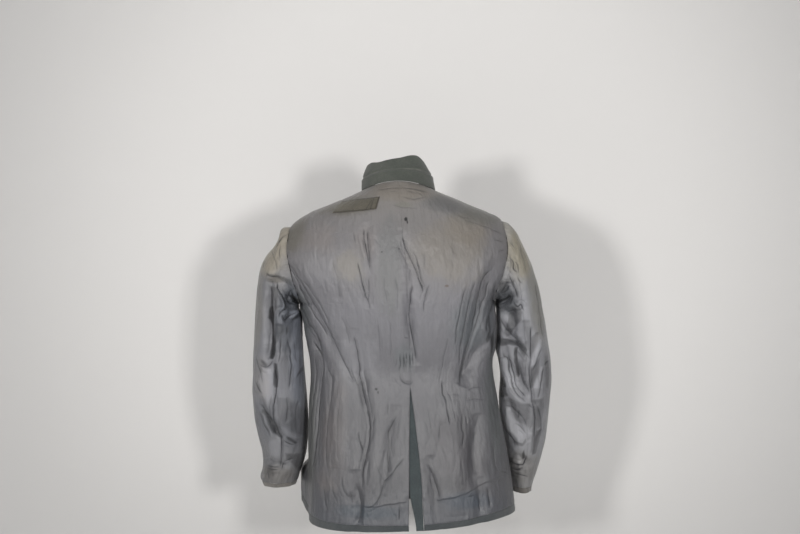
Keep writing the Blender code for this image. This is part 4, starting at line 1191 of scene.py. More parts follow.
levels = panel_levels(0.0023)
for name, side in (("front_left", -1), ("front_right", 1)):
    step = lap_step if side > 0 else None
    panel = body_panel(name + "_cloth", levels, *front_reach(levels, side), 96, 1.0, step)
    cloth_for(panel, name, "lining", *PANEL_CUT[name])

# --------------------------------------
# Wool at the hem. The wool of each panel is turned up, and the lining is felled to it by
# hand a little above the edge, so a narrow band of wool shows all round.
# --------------------------------------

WOOL, WOOL_STEP = 0.0020, 0.0004


def hem_band(name, reach, cut, step=None):
    """The wool below the lining of one panel, rounded at its turned edges."""
    rows = np.array([0.0, 0.03, 0.08, 0.25, 0.45, 0.65, 0.82, 0.93, 0.98, 1.0])
    angle, first, second = across_panel(last, *reach, 92)
    angle = np.repeat(angle, len(rows), axis=0)
    top = lining_level(HEM_LEVEL, angle[0]) + SEWN_GAP / HEM_ROW
    level = top + (HEM_LEVEL - top) * rows[:, None]
    out = (np.zeros(angle.shape) if step is None else step(body(level, angle))) - WOOL_STEP
    low = (HEM_LEVEL - level) * HEM_ROW
    high = (level - top) * HEM_ROW
    turned = 0.0009 * (turned_in(low, 0.0022) + turned_in(high, 0.001))
    turned = turned + 0.0003 * turned_in(np.minimum(first, second), 0.0015)
    turned = np.minimum(turned, 0.0008)
    outer, mark = body_cloth(level, angle, out - turned)
    inner, _ = body_cloth(level, angle, out - WOOL + turned)
    band = shell(name + "_cloth", outer, inner, hem_wool, hem_wool, mark[..., 0] * 0.6, 0.0)
    cloth_for(band, name, "field_wool", *cut)


hem_wool = wool_cloth(
    "hem wool", (0.061, 0.067, 0.071), (0.119, 0.125, 0.128), (0.041, 0.047, 0.051)
)
last = np.array([HEM_LEVEL])
for side, word, back_cut, front_cut in (
    (-1, "left", (0.281, 0.0185, 0.0043), (0.366, 0.0185, 0.0065)),
    (1, "right", (0.267, 0.0185, 0.0039), (0.333, 0.0185, 0.0060)),
):
    hem_band("hem_back_" + word, (vent_edge(last, side), side * side_angle(last)), back_cut)
    step = lap_step if side > 0 else None
    hem_band("hem_front_" + word, front_reach(last, side), front_cut, step)

# --------------------------------------
# Vent underlap. A strip of bare wool left on the right half of the back. It lies behind
# the left flap and shows in the open vent, with its own free edge.
# --------------------------------------

UNDERLAP_WIDTH = 0.024
vent_wool = wool_cloth(
    "vent wool", (0.047, 0.059, 0.062), (0.100, 0.118, 0.118), (0.036, 0.045, 0.049)
)
levels = np.linspace(vent_top - 0.1, HEM_LEVEL, 150)[:, None]
across = np.concatenate([[0.0, 0.02, 0.05], np.linspace(0.1, 0.9, 14), [0.95, 0.98, 1.0]])
edge = vent_x(levels, 1) - GAP
narrow = 0.009 * smooth(levels - 12.0)
opened = smooth((edge - VENT[0][2]) / 0.012)
angle = angle_at_x(levels, edge - across * (UNDERLAP_WIDTH - narrow))
near = -UNDER + (UNDER - WOOL_STEP) * opened
step = near + (-UNDER - near) * smooth(across / 0.45)
turned = 0.0008 * turned_in((1 - across) * UNDERLAP_WIDTH, 0.0015)
points, way, move, mark = body_relief(levels + 0 * angle, angle)
move = tucked_under(move, step / -UNDER) + step
outer = points + way * (move - turned)[..., None]
inner = points + way * (move - WOOL + turned)[..., None]
underlap = shell("vent_underlap_cloth", outer, inner, vent_wool, vent_wool, mark[..., 0] * 0.6)
cloth_for(underlap, "vent_underlap", "field_wool", 0.026, 0.295, 0.0070)

# --------------------------------------
# Sleeves. Each has an upper and an under piece, sewn together down the front and the back
# of the arm. The shiny lining is fuller than the wool, so it hangs in deep crumples at the
# armpit and the elbow, and the cap is stained brown.
# --------------------------------------

# The outermost and innermost points of a section, the depth of its middle, half its depth,
# and how far its middle stands out past the line between the two points.
Cut = namedtuple("Cut", "x_outer z_outer x_inner z_inner y_middle half_depth bulge")
LEFT_SLEEVE = table("""
sleeve head: -.247 -.08 -.213 -.2383 .001 .064 -.0115
cap 1: -.2535 -.098 -.2142 -.239 .001 .065 -.0125
cap 2: -.266 -.118 -.215 -.2402 .002 .066 -.011
cap 3: -.283 -.139 -.2156 -.2422 .002 .067 -.0075
cap 4: -.296 -.168 -.2158 -.2452 .003 .0675 -.0035
cap 5: -.3015 -.2 -.2156 -.2505 .004 .0675 -.001
cap foot: -.3045 -.238 -.2096 -.259 .005 .067 0
upper arm: -.307 -.283 -.2072 -.286 .006 .066 0
above elbow: -.31 -.335 -.2062 -.335 .008 .065 0
elbow: -.3125 -.388 -.2022 -.388 .014 .064 0
below elbow: -.3125 -.435 -.199 -.435 .022 .063 0
upper forearm: -.309 -.48 -.1972 -.48 .03 .061 0
forearm: -.302 -.525 -.1985 -.525 .038 .059 0
above wrist: -.2935 -.562 -.203 -.562 .044 .057 0
wrist: -.295 -.591 -.211 -.591 .047 .056 0
cuff: -.2985 -.61 -.218 -.61 .048 .056 0
cuff edge: -.296 -.6265 -.2225 -.6265 .048 .055 0
""")
RIGHT_SLEEVE = table("""
sleeve head: .23 -.07 .2008 -.2285 .001 .064 .0115
cap 1: .244 -.088 .2018 -.2295 .001 .065 .0115
cap 2: .256 -.11 .2026 -.231 .002 .066 .01
cap 3: .27 -.137 .2032 -.2335 .002 .067 .0075
cap 4: .283 -.17 .2036 -.237 .003 .0675 .004
cap 5: .2925 -.205 .2044 -.2425 .004 .0675 .0015
cap foot: .3005 -.245 .2052 -.254 .006 .067 0
upper arm: .3075 -.288 .2066 -.288 .008 .066 0
above elbow: .316 -.337 .2058 -.337 .011 .065 0
elbow: .3225 -.388 .2135 -.388 .017 .064 0
below elbow: .3205 -.435 .2112 -.435 .026 .063 0
upper forearm: .3165 -.485 .215 -.485 .036 .061 0
forearm: .3105 -.535 .2255 -.535 .045 .059 0
above wrist: .301 -.575 .231 -.575 .052 .057 0
wrist: .2935 -.602 .2345 -.602 .058 .056 0
cuff: .288 -.62 .2375 -.62 .062 .056 0
cuff edge: .285 -.642 .24 -.642 .064 .055 0
""")
CUFF_LINING_END = 16.45
SLEEVE_RADIAN, SLEEVE_ROW = 0.055, 0.031
LEFT_SLEEVE_BACK_FOLDS = table("""
deep trough: -268 -185 -269 -378 1 10 11
armpit crumple 1: -252 -200 -220 -258 6 6 10
armpit crumple 2: -243 -272 -206 -262 0 5.5 10
elbow pull: -302 -425 -246 -520 -4 6.5 11
back seam fold: -256 -360 -244 -590 -12 5 11
wrist tuck: -292 -566 -232 -582 0 4.5 10
""")
LEFT_SLEEVE_FRONT_FOLDS = table("""
elbow fold 1: -300 -355 -218 -385 0 7 12
elbow fold 2: -296 -410 -222 -428 4 6.5 12
cap fold: -262 -165 -266 -320 4 6.5 13
forearm fold: -275 -440 -262 -590 6 5 12
""")
RIGHT_SLEEVE_BACK_FOLDS = table("""
elbow sweep: 206 -312 284 -452 -12 8 11
elbow hollow: 226 -290 248 -400 4 8 12
outer ridge: 288 -300 266 -410 2 -5 11
armpit crumple 1: 200 -222 250 -228 0 6.2 10
armpit crumple 2: 220 -245 236 -296 4 5.2 10
back seam fold: 270 -285 272 -510 4 4.8 11
forearm sweep: 218 -430 268 -530 -4 6 12
wrist crumple: 236 -560 280 -582 0 4.8 10
""")
RIGHT_SLEEVE_FRONT_FOLDS = table("""
elbow fold 1: 228 -378 310 -350 0 7 12
elbow fold 2: 232 -428 308 -406 0 6.5 12
cap fold: 252 -160 262 -310 -4 6.5 13
forearm fold: 282 -440 268 -600 -4 5 12
""")
LEFT_SLEEVE_CREASES = table("""
cap dart: 2.4 2.6 -226 -84 -245 -103 -260 -124
cap dart, low: 1.2 2.4 -246 -113 -249 -132 -247 -150
cap fleck 1: 1.2 2.4 -258 -152 -253 -168
cap fleck 2: 1 2.4 -238 -137 -232 -156 -234 -172
cap dent: 2.2 4 -279 -172 -268 -180 -252 -180 -242 -185
deep trough: 7.5 7 -269 -198 -270 -260 -268 -291 -269 -328 -275 -359
trough hook: 3.2 5 -294 -360 -285 -367 -275 -367 -261 -353
trough lip: -3 6 -277 -208 -279 -260 -280 -312
armpit zigzag: 4 4.2 -252 -188 -250 -208 -238 -224 -235 -245 -247 -255 -252 -270
armpit cleft: 6 5.5 -225 -203 -227 -230 -216 -241
armpit sweep: 4 5 -245 -255 -236 -271 -224 -261 -212 -252
inner run 1: 1.8 4 -245 -301 -248 -338 -253 -364
inner run 2: 2.2 4 -233 -307 -226 -344 -226 -380 -231 -417
inner run 3: 1.5 5 -221 -313 -216 -365
inner run 4: 1.2 6 -210 -340 -208 -420
back seam drag: 2.6 3.5 -261 -364 -255 -395 -260 -433 -266 -460 -267 -482 -257 -509 -249 -524 -253
-589
elbow diagonal: 5 6 -300 -446 -286 -472 -270 -498 -257 -519
elbow diagonal 2: 2.5 6 -297 -467 -283 -498 -270 -519
forearm cross: 1.6 4 -249 -521 -231 -532 -216 -537
forearm swell: -1.8 6 -235 -491 -228 -482 -223 -476
cuff tuck 1: 2 3 -284 -581 -266 -583 -251 -581
cuff tuck 2: 1.6 3 -284 -587 -266 -588 -253 -588
cuff crumple 1: 2 4 -281 -591 -279 -601 -277 -611
cuff crumple 2: 2 4 -250 -589 -247 -582 -243 -573
cuff cross: 1.8 5 -248 -574 -232 -567 -217 -564
outer elbow 1: 2 6 -302 -345 -291 -380 -286 -406
outer elbow 2: 2.2 6 -304 -398 -295 -418 -284 -428
cap run 1: 1.2 5 -271 -120 -258 -147 -252 -167
cap run 2: 1.3 5 -284 -141 -283 -167
inner forearm: 1.6 7 -212 -435 -218 -471 -217 -515
forearm run: 1.4 5 -237 -427 -235 -459 -240 -491
""")
RIGHT_SLEEVE_CREASES = table("""
cap crease: 2.6 2.6 225 -139 233 -151 235 -165 245 -173
cap crease, upper: 1.1 2.4 219 -96 229 -112 240 -126
cap crease, low: 2.2 2.6 222 -174 230 -192 236 -207
cap fleck: 1.6 2.6 241 -178 246 -190 254 -196
armhole pucker 1: 1.6 3 224 -131 229 -157 224 -167
armhole pucker 2: 1.6 3 234 -147 242 -157 244 -177
armpit bow: 5 5 210 -198 224 -193 232 -198 239 -213 242 -229
armpit cleft: 7 6 201 -236 213 -237 227 -214
armpit nick: 3.2 4 230 -229 242 -242 250 -239 258 -255
facet 1: 5 8 209 -262 219 -292 239 -312 258 -317
facet 2: 4.5 7 212 -309 239 -323 258 -338 272 -353
sweep 1: 4.2 5 220 -345 230 -387 245 -417 266 -439
sweep 2: 3.2 5 213 -336 225 -382 240 -423 266 -446
elbow hollow: 5 7 237 -349 250 -391 272 -428
back seam drag: 2.6 3.5 271 -281 272 -338 269 -390 283 -471 283 -525
outer fold: 3.2 6 293 -323 285 -353 275 -380
outer run 1: 2.2 5 299 -365 294 -396 287 -439
outer run 2: 2.2 5 312 -356 305 -360 299 -365
forearm sweep 1: 3.4 7 213 -455 231 -457 256 -476 267 -498
forearm sweep 2: 3.2 7 214 -478 223 -508 238 -527 243 -548
forearm sweep 3: 2.2 6 237 -489 252 -499 268 -514
wrist crumple 1: 3.2 4 231 -570 239 -577 259 -580 266 -560
wrist crumple 2: 3.2 4 234 -586 249 -591 264 -580
wrist crumple 3: 2 4 266 -557 265 -566 264 -574
cuff seam: 2 3 238 -601 254 -601 276 -605
outer long: 1.6 6 281 -188 291 -261 299 -313
cap run: 1.4 6 249 -115 256 -147 263 -178
cap run 2: 1.2 4 230 -103 235 -121
inner facet: 2 5 206 -273 208 -309 211 -341
outer elbow: 2.4 6 287 -449 297 -483 295 -521
forearm nick: 2 5 266 -449 280 -460
armpit fan: 2.4 5 218 -256 233 -250 242 -260
""")
# Flat planes of satin on the sleeves, as on the back: painted shade in the clefts and hollows and
# painted highlight on the ridges.
LEFT_SLEEVE_PLANES = table("""
under the cap's dent: -1 -278 -172 -270 -176 -254 -176 -237 -182 -225 -189 -223 -201 -253 -183 -276
-179
inner arm, top: .35 -251 -192 -239 -192 -228 -204 -225 -210 -231 -222 -231 -244 -235 -244 -237 -227
-250 -207
trough, top: -1.2 -269 -202 -264 -201 -260 -216 -263 -241 -273 -244
trough's far slope: -.9 -263 -201 -253 -204 -251 -222 -254 -248 -260 -258 -262 -236 -260 -216
trough: -3.2 -273 -244 -263 -241 -260 -258 -263 -321 -267 -321 -269 -280 -275 -266
ridge beside it: .3 -282 -239 -275 -248 -275 -269 -269 -283 -267 -321 -281 -321
armpit cleft: -4 -223 -213 -213 -230 -206 -238 -205 -244 -212 -242 -222 -234 -225 -223
armpit cleft, low: -4 -217 -244 -205 -243 -205 -249 -216 -249
armpit cleft, third: -2.3 -222 -273 -216 -261 -207 -251 -202 -270 -210 -264
zigzag cleft: -2.9 -244 -213 -232 -233 -232 -244 -237 -244
zigzag's lit edge: .8 -248 -216 -242 -219 -237 -233 -238 -244 -245 -255 -249 -255 -241 -239 -242
-227
lit hook: .35 -256 -260 -251 -258 -248 -271 -243 -277 -250 -277 -256 -267
plane below: .45 -248 -257 -231 -247 -232 -261 -239 -277 -245 -276 -250 -266
plane by the cleft: 1.2 -228 -251 -216 -251 -210 -252 -219 -266 -225 -270
inner arm, dark: -.7 -260 -277 -250 -276 -239 -280 -237 -295 -245 -304 -256 -321 -263 -321
middle cleft: -1.2 -237 -288 -231 -280 -230 -295 -235 -302
inner edge, top: -1.2 -206 -277 -201 -280 -202 -292 -198 -321 -202 -321 -206 -295
trough's foot: -2.6 -267 -301 -260 -301 -256 -323 -257 -343 -263 -352 -272 -351 -272 -338 -267 -319
hook under it: -1 -289 -352 -282 -355 -276 -364 -279 -368 -287 -363
outer elbow, pale: .55 -285 -371 -269 -370 -263 -383 -263 -433 -270 -442 -278 -462 -298 -404 -292
-383
along the seam: -1.7 -262 -360 -254 -360 -251 -389 -253 -411 -260 -413 -263 -404
inner arm run: -.15 -250 -346 -228 -343 -225 -363 -225 -404 -237 -418 -251 -415 -253 -389
inner arm plane: .3 -222 -330 -201 -338 -198 -349 -203 -368 -216 -392 -222 -392
inner diagonal: -1.15 -198 -355 -196 -366 -207 -383 -216 -393 -214 -383
inner edge: -2 -201 -301 -194 -360 -192 -448 -196 -448 -196 -389 -202 -316
elbow diagonal: -1.8 -295 -460 -279 -470 -260 -496 -254 -512 -245 -518 -254 -520 -267 -510 -278 -492
-284 -477 -294 -467
forearm plane: -.3 -256 -433 -231 -433 -216 -448 -197 -462 -194 -492 -201 -521 -225 -507 -248 -486
-257 -470 -260 -448
pale by the seam: .4 -253 -492 -242 -496 -225 -510 -207 -521 -216 -524 -237 -517 -245 -507
wrist drag: -1.6 -239 -516 -228 -521 -215 -532 -219 -535 -237 -522
inner edge, low: -2.1 -198 -474 -191 -489 -190 -521 -197 -548 -203 -548 -201 -521 -195 -499
forearm, low: .25 -275 -526 -245 -520 -245 -537 -248 -559 -254 -567 -275 -559 -278 -540
above the cuff: -.5 -276 -565 -266 -570 -254 -570 -239 -576 -239 -580 -269 -577 -275 -571
inner wrist: -.8 -242 -552 -210 -557 -207 -576 -210 -590 -216 -596 -228 -576 -239 -567
inner wrist edge: -3.6 -201 -530 -192 -530 -195 -559 -199 -582 -212 -596
cuff's outer side: -.5 -284 -582 -275 -576 -267 -590 -266 -604 -275 -601 -284 -590
""")
RIGHT_SLEEVE_PLANES = table("""
below the cap, pale: .15 244 -216 257 -211 266 -222 270 -238 271 -255 269 -270 257 -270 251 -273 251
-254 247 -241 242 -232
inner arm, dark plane: -1 232 -238 247 -245 251 -252 251 -270 237 -285 229 -299 219 -307 216 -292
223 -276 223 -258 231 -249
inner arm, pale plane: .6 206 -258 217 -251 223 -255 223 -276 216 -292 215 -308 206 -299 204 -273
pale triangle: .15 238 -291 247 -277 251 -279 263 -314 257 -317 226 -313 226 -305
dark crossing: -1.4 203 -299 213 -310 223 -311 257 -320 263 -333 257 -351 241 -327 223 -323 212 -327
202 -313
long pale sweep: .5 201 -316 210 -323 223 -373 237 -396 245 -414 223 -414 212 -380 199 -327
dark valley: -2.4 234 -329 241 -329 241 -363 245 -388 242 -393 237 -389 234 -358
outer hollow: -.85 272 -308 281 -296 287 -295 284 -314 278 -336 270 -351 269 -329
bright ridge: .5 287 -310 292 -311 292 -333 287 -349 278 -363 270 -368 270 -355 278 -343
behind the ridge: -1 292 -343 289 -357 288 -380 281 -396 276 -414 270 -414 270 -373 281 -361
outer elbow, pale: .5 291 -368 298 -367 297 -414 278 -414 282 -398 289 -383
outer edge: -.55 300 -355 307 -343 313 -373 311 -414 304 -414 301 -388
knot by the armhole: -1.1 204 -191 225 -189 226 -201 223 -211 212 -216 204 -211
armpit cleft: -3.4 197 -235 213 -226 223 -218 224 -222 208 -237 211 -248
against the body: -3.8 199 -244 202 -249 206 -294 203 -308 197 -323 194 -308 198 -294
small cleft: -1.2 225 -224 230 -224 230 -236 226 -241 226 -232
under the inner elbow: -1.5 211 -373 219 -393 223 -414 206 -414 209 -388
inner elbow: -1.3 209 -393 219 -393 220 -408 225 -432 213 -438 203 -435 201 -427
elbow sweep, pale: .15 219 -393 238 -393 245 -411 263 -427 278 -430 278 -443 270 -448 248 -442 225
-432 220 -411
upper forearm: -.6 223 -436 234 -436 254 -445 276 -449 276 -482 272 -499 257 -490 241 -485 234 -470
216 -443
forearm sweep, pale: .3 204 -448 213 -446 229 -462 239 -482 254 -492 269 -499 278 -511 269 -523 251
-526 237 -523 232 -534 225 -526 219 -502 207 -470
inner edge of the forearm: -2.3 203 -452 209 -476 215 -487 219 -508 213 -510 203 -479
inner forearm: .4 212 -508 222 -511 234 -549 225 -554 216 -540 212 -526
outer forearm: -.75 278 -440 300 -432 301 -452 297 -496 289 -502 278 -552 275 -552 278 -496 272 -502
276 -482
outer forearm, low: -1.25 287 -505 300 -502 287 -555 278 -557 281 -526
wrist hollow: -1 223 -567 239 -567 241 -583 231 -584 223 -579
wrist nick: -2.3 257 -555 261 -546 264 -565 257 -568
wrist, pale: .55 239 -559 251 -558 257 -570 251 -579 241 -579
slit: -1.4 245 -462 249 -462 249 -477 245 -477
forearm hollow: -1 238 -526 257 -532 264 -523 266 -530 257 -539 239 -534
by the back seam: -.45 250 -270 268 -270 270 -336 262 -334 257 -318 263 -312
""")
LEFT_SLEEVE_FRONT_CREASES = table("""
elbow 1: 3.2 5 -306 -340 -280 -352 -240 -372 -216 -378
elbow 2: 3 5 -306 -372 -275 -388 -240 -392
elbow 3: 2.6 5 -300 -402 -262 -420 -215 -418
elbow 4: 2.2 4 -260 -350 -232 -352 -212 -346
armpit 1: 3 5 -222 -212 -240 -232 -262 -240 -280 -262
armpit 2: 2.6 4 -214 -262 -236 -268 -256 -288
upper run: 2 5 -262 -150 -270 -210 -272 -262 -266 -320
forearm run 1: 2.2 5 -286 -432 -276 -480 -268 -540
forearm run 2: 1.8 5 -232 -440 -238 -486 -232 -540
forearm run 3: 1.6 5 -255 -470 -256 -520 -262 -570
cuff tuck: 2 3 -290 -585 -262 -590 -222 -583
cap run: 1.4 5 -250 -112 -262 -140 -272 -178
""")


def sleeve_surface(side):
    """A sleeve's outer face: row 0 is the armhole seam, turn 0 its outer edge, pi/2 its back."""
    cuts = [Cut(*row) for row in (LEFT_SLEEVE if side < 0 else RIGHT_SLEEVE).values()]

    def surface(row, turn):
        row, turn = matched(row, turn)
        back = np.sin(turn)
        level = armhole_level(turn)
        reach = side_angle(level)
        seam = body(level, side * np.where(back >= 0, reach, math.pi - reach))
        seam[..., 0] += side * 2 * SEWN_GAP
        rings = [seam]
        for c in cuts:
            along = (1 + np.cos(turn)) / 2
            x = c.x_inner + (c.x_outer - c.x_inner) * along + c.bulge * back**2
            y = c.y_middle - c.half_depth * np.sign(back) * np.abs(back) ** 0.9
            z = c.z_inner + (c.z_outer - c.z_inner) * along
            rings.append(np.stack([x, y, z], -1))
        rings = lengthened(np.stack(rings))
        row = np.clip(row, 0.0, len(cuts))
        low = np.minimum(row.astype(int), len(cuts) - 1)
        near = (np.take_along_axis(rings, (low + k)[None, ..., None], 0)[0] for k in range(4))
        return curve(*near, (row - low)[..., None])

    return surface


def sleeve_relief(side, row, turn):
    """A sleeve's points, the way out of the cloth, how far its folds and creases move it, and
    the creases' marks."""
    row, turn = matched(row, turn)
    surface = sleeve_surface(side)
    points = surface(row, turn)
    way = normals(surface, row, turn, -side)
    back, front, back_narrow, front_narrow = SLEEVE_CREASES[side]
    fine, mark = narrow_creases(points, way, back_narrow, front_narrow)
    u, v, seed = turn * SLEEVE_RADIAN + 5.0, row * SLEEVE_ROW, 23 if side < 0 else 37
    bend = 0.45 * ripple(u / 0.05, v / 0.07, seed)
    small = 0.0017 * facets(u / 0.024 + bend, v / 0.042 + 0.4 * u / 0.024 + bend, seed + 1)
    small = small + 0.0006 * facets(u / 0.012 - bend, v / 0.021 - 0.5 * u / 0.012, seed + 2)
    small = (small + crumple(u, v, seed, 0.5)) * (0.55 + 0.45 * smooth(np.cos(turn) + 1.2))
    held = smooth(row / 0.8)
    # Each sleeve's planes, with their painted shade and highlight, and on its front the other sleeve's,
    # mirrored.
    own, others = (LEFT_SLEEVE_PLANES, RIGHT_SLEEVE_PLANES)[::-side]
    flat, mark[..., 3] = satin_planes(points, way, own, mirrored(others, 1))
    move = fold_depth(points, way, back, front) * smooth(row / 3.0) + (fine + small + flat) * held
    press = pressed(points[..., 2], side)
    lies = smooth((-np.cos(turn) - 0.72) / 0.22) * np.clip(press / 0.0004, 0, 1) * held
    move = move + lies * (press - move)
    way[..., 0] *= smooth(row / 0.5)
    way = unit(way)
    mark[..., ::2] *= held[..., None]
    return points, way, move, mark


def sleeve_cloth(side, row, turn, out=0.0):
    """Points on a folded and creased sleeve, a distance out from the lining's face."""
    return raised(sleeve_relief(side, row, turn), out)


SLEEVE_CREASES = {
    -1: (
        LEFT_SLEEVE_BACK_FOLDS,
        LEFT_SLEEVE_FRONT_FOLDS,
        LEFT_SLEEVE_CREASES,
        LEFT_SLEEVE_FRONT_CREASES,
    ),
    1: (
        RIGHT_SLEEVE_BACK_FOLDS,
        RIGHT_SLEEVE_FRONT_FOLDS,
        RIGHT_SLEEVE_CREASES,
        mirrored(LEFT_SLEEVE_FRONT_CREASES, 2),
    ),
}
# The sleeves' stains and painted light, with the back's columns. The caps' brown is a stain; the dark at
# the armpits, the upper arms and below the left cap is painted shade, and the paler outer arm and outer
# elbow of the left sleeve are painted highlight.
LEFT_SLEEVE_STAINS_AND_PAINTED_LIGHT = table("""
cap: -272 -20 -135 40 110 55 .278 .252 .208 .85 .9
cap head: -245 -20 -100 30 110 50 .27 .242 .196 .7 .9
outer arm: -300 0 -230 25 110 120 .212 .204 .191 .6 .9
armpit: -222 -30 -245 34 100 70 .07 .077 .091 .85 .8
upper arm: -240 -50 -290 24 90 60 .085 .091 .106 .8 .9
below the cap: -256 -50 -187 20 60 9 .106 .095 .081 .65 .8
inner arm: -210 -10 -360 24 100 120 .131 .142 .17 .75 .8
outer elbow: -288 -30 -400 26 90 60 .217 .21 .214 .6 1
elbow: -285 -20 -480 30 80 50 .13 .134 .148 .7 .9
forearm, low: -224 -20 -500 32 100 60 .098 .101 .113 .75 .9
cuff: -262 0 -600 50 100 22 .117 .11 .104 .7 .8
""")
RIGHT_SLEEVE_STAINS_AND_PAINTED_LIGHT = table("""
cap: 252 -20 -130 40 110 70 .249 .227 .178 .85 .9
outer arm: 290 -10 -220 30 110 110 .201 .195 .176 .7 .9
armpit: 222 -40 -232 30 80 36 .064 .069 .077 .85 .8
upper arm: 240 -50 -300 24 80 50 .111 .114 .127 .6 1
elbow: 258 -40 -385 20 80 40 .133 .134 .146 .6 1
outer elbow: 312 -10 -400 30 100 80 .148 .148 .159 .6 .9
wrist: 256 -10 -590 50 100 45 .154 .149 .144 .7 .8
""")
LEFT_SLEEVE_COLOURS = {
    -0.66: (0.139, 0.138, 0.141),
    -0.56: (0.161, 0.163, 0.174),
    -0.40: (0.193, 0.196, 0.215),
    -0.22: (0.161, 0.162, 0.174),
    -0.08: (0.264, 0.251, 0.231),
}
RIGHT_SLEEVE_COLOURS = {
    -0.66: (0.198, 0.196, 0.196),
    -0.56: (0.226, 0.228, 0.242),
    -0.40: (0.231, 0.233, 0.251),
    -0.22: (0.220, 0.223, 0.240),
    -0.08: (0.264, 0.253, 0.233),
}

# The sleeves' satin: its crumple, how dark its creases are painted as shade and grime, and its gloss.
worn = {"crumpled": 0.0020, "crease_shade_and_grime": 0.40, "gloss": 0.28}
sleeve_linings = {
    -1: lining_cloth(
        "left sleeve lining", LEFT_SLEEVE_COLOURS, LEFT_SLEEVE_STAINS_AND_PAINTED_LIGHT, 7.0, 0.36, **worn
    ),
    1: lining_cloth(
        "right sleeve lining", RIGHT_SLEEVE_COLOURS, RIGHT_SLEEVE_STAINS_AND_PAINTED_LIGHT, 13.0, 0.35, **worn
    ),
}
SLEEVE_CUT = {
    ("upper", "left"): (0.245, 0.585, 0.101),
    ("under", "left"): (0.248, 0.495, 0.079),
    ("upper", "right"): (0.252, 0.615, 0.104),
    ("under", "right"): (0.246, 0.515, 0.081),
}
close = np.array([0.0, 0.012, 0.03, 0.06, 0.10])
for side, word in ((-1, "left"), (1, "right")):
    surface = sleeve_surface(side)
    try_rows = np.linspace(0.1, CUFF_LINING_END - 0.1, 400)
    run = walked(surface(try_rows, math.pi * 0.4))
    rows = np.interp(np.linspace(0.0, run[-1], 290), run, try_rows)
    rows = np.concatenate([close[:-1], rows, CUFF_LINING_END - close[-2::-1]])[:, None]
    for piece, first in (("upper", -math.pi / 2), ("under", math.pi / 2)):
        spread = np.linspace(0.0, 1.0, 100)[1:-1]
        part = np.sort(np.concatenate([close * 0.07, spread, 1.0 - close[::-1] * 0.07]))
        turn = first + math.pi * part + 0.0 * rows
        base, way, move, mark = sleeve_relief(side, rows, turn)
        across = walked(base, 1)
        left_over = across[:, -1:] - across
        down = walked(base[:, :1])
        up = down[-1] - down
        edge = rolled(across, 0.5) + rolled(left_over, 0.5) + rolled(down, 0.5) + rolled(up, 0.6)
        edge += puckered(across, down, 61, 1.1, 0.012) + puckered(left_over, down, 63, 1.1, 0.012)
        edge += puckered(down, across + 0.3 * first, 65 + side, 2.6, 0.018)
        edge += puckered(up, across, 67 + side, 1.6, 0.014)
        edge = np.clip(edge, -0.0015, 0.0015)
        seams = 0.16 * bell(down, 0.0016) + 0.25 * bell(np.minimum(across, left_over), 0.0014)
        outer, inner, kept = two_faces(base, way, move, edge, np.zeros(move.shape))
        for face in (outer, inner):
            for at, near in ((0, 1), (-1, -2)):
                face[:, at] += unit(face[:, near] - face[:, at]) * SEWN_GAP / 2
        mark[..., 0] = np.maximum(mark[..., 0], seams)
        name, lining = f"sleeve_{piece}_{word}", sleeve_linings[side]
        made = shell(name + "_cloth", outer, inner, lining, field_wool, mark, 0.5, kept)
        cloth_for(made, name, "lining", *SLEEVE_CUT[piece, word])

# --------------------------------------
# Cuffs. The wool of each sleeve is turned up and the lining stops short of it, so a ring of
# worn brownish wool shows at the end.
# --------------------------------------

cuff_wool = wool_cloth(
    "cuff wool", (0.150, 0.140, 0.128), (0.24, 0.23, 0.21), (0.100, 0.095, 0.090)
)
for side, word in ((-1, "left"), (1, "right")):
    end = float(len(LEFT_SLEEVE))
    part = np.concatenate([[0.0, 0.02, 0.06, 0.14], np.linspace(0.22, 0.82, 8), [0.9, 0.95, 0.98, 1.0]])
    rows = (CUFF_LINING_END + 0.02 + (end - CUFF_LINING_END - 0.02) * part)[:, None]
    turn = np.linspace(0.0, 2 * math.pi, 161) + 0.0 * rows
    turned = 0.0009 * (turned_in(1 - part, 0.14) + turned_in(part, 0.08))[:, None]
    uneven = np.minimum(0.0006 * ripple(turn / 0.21, rows * 2.0, 71 + side), 0.0)
    outer, mark = sleeve_cloth(side, rows, turn, uneven - WOOL_STEP - turned)
    inner, _ = sleeve_cloth(side, rows, turn, uneven - WOOL_STEP - WOOL + turned)
    outer[:, -1], inner[:, -1] = outer[:, 0], inner[:, 0]
    made = shell(f"cuff_{word}_cloth", outer, inner, cuff_wool, cuff_wool, mark[..., 0] * 0.6, ring=True)
    cut = (0.300, 0.0110, 0.00330) if side < 0 else (0.258, 0.0140, 0.00361)
    cloth_for(made, "cuff_" + word, "field_wool", *cut)

# --------------------------------------
# Collar. Firm field-grey wool, turned up and open at the front. The stand is sewn into the
# neck, and above its fold line rises the fall, whose top edge waves.
# --------------------------------------

COLLAR_WALL = 0.0030
COLLAR = table("""
fold: -.0768 .065 .026 .03 -.057 .038 -.004 .073 -.052 -.004 2.1
top edge: -.0662 .052 .051 .046 -.05 .0635 -.006 .07 -.024 -.008 2.2
""")
CREST_ANGLES = np.radians([-180, -90, -60, -35, -10, 5, 28, 45, 70, 90, 180])
CREST_RISE = [0.0, 0.0, 0.0030, -0.0034, -0.0010, 0.0010, 0.0115, 0.0150, 0.0080, 0.0010, 0.0]
COLLAR_END_GAP, COLLAR_TOP_SPREAD, COLLAR_RADIUS = 0.0010, 0.022, 0.070


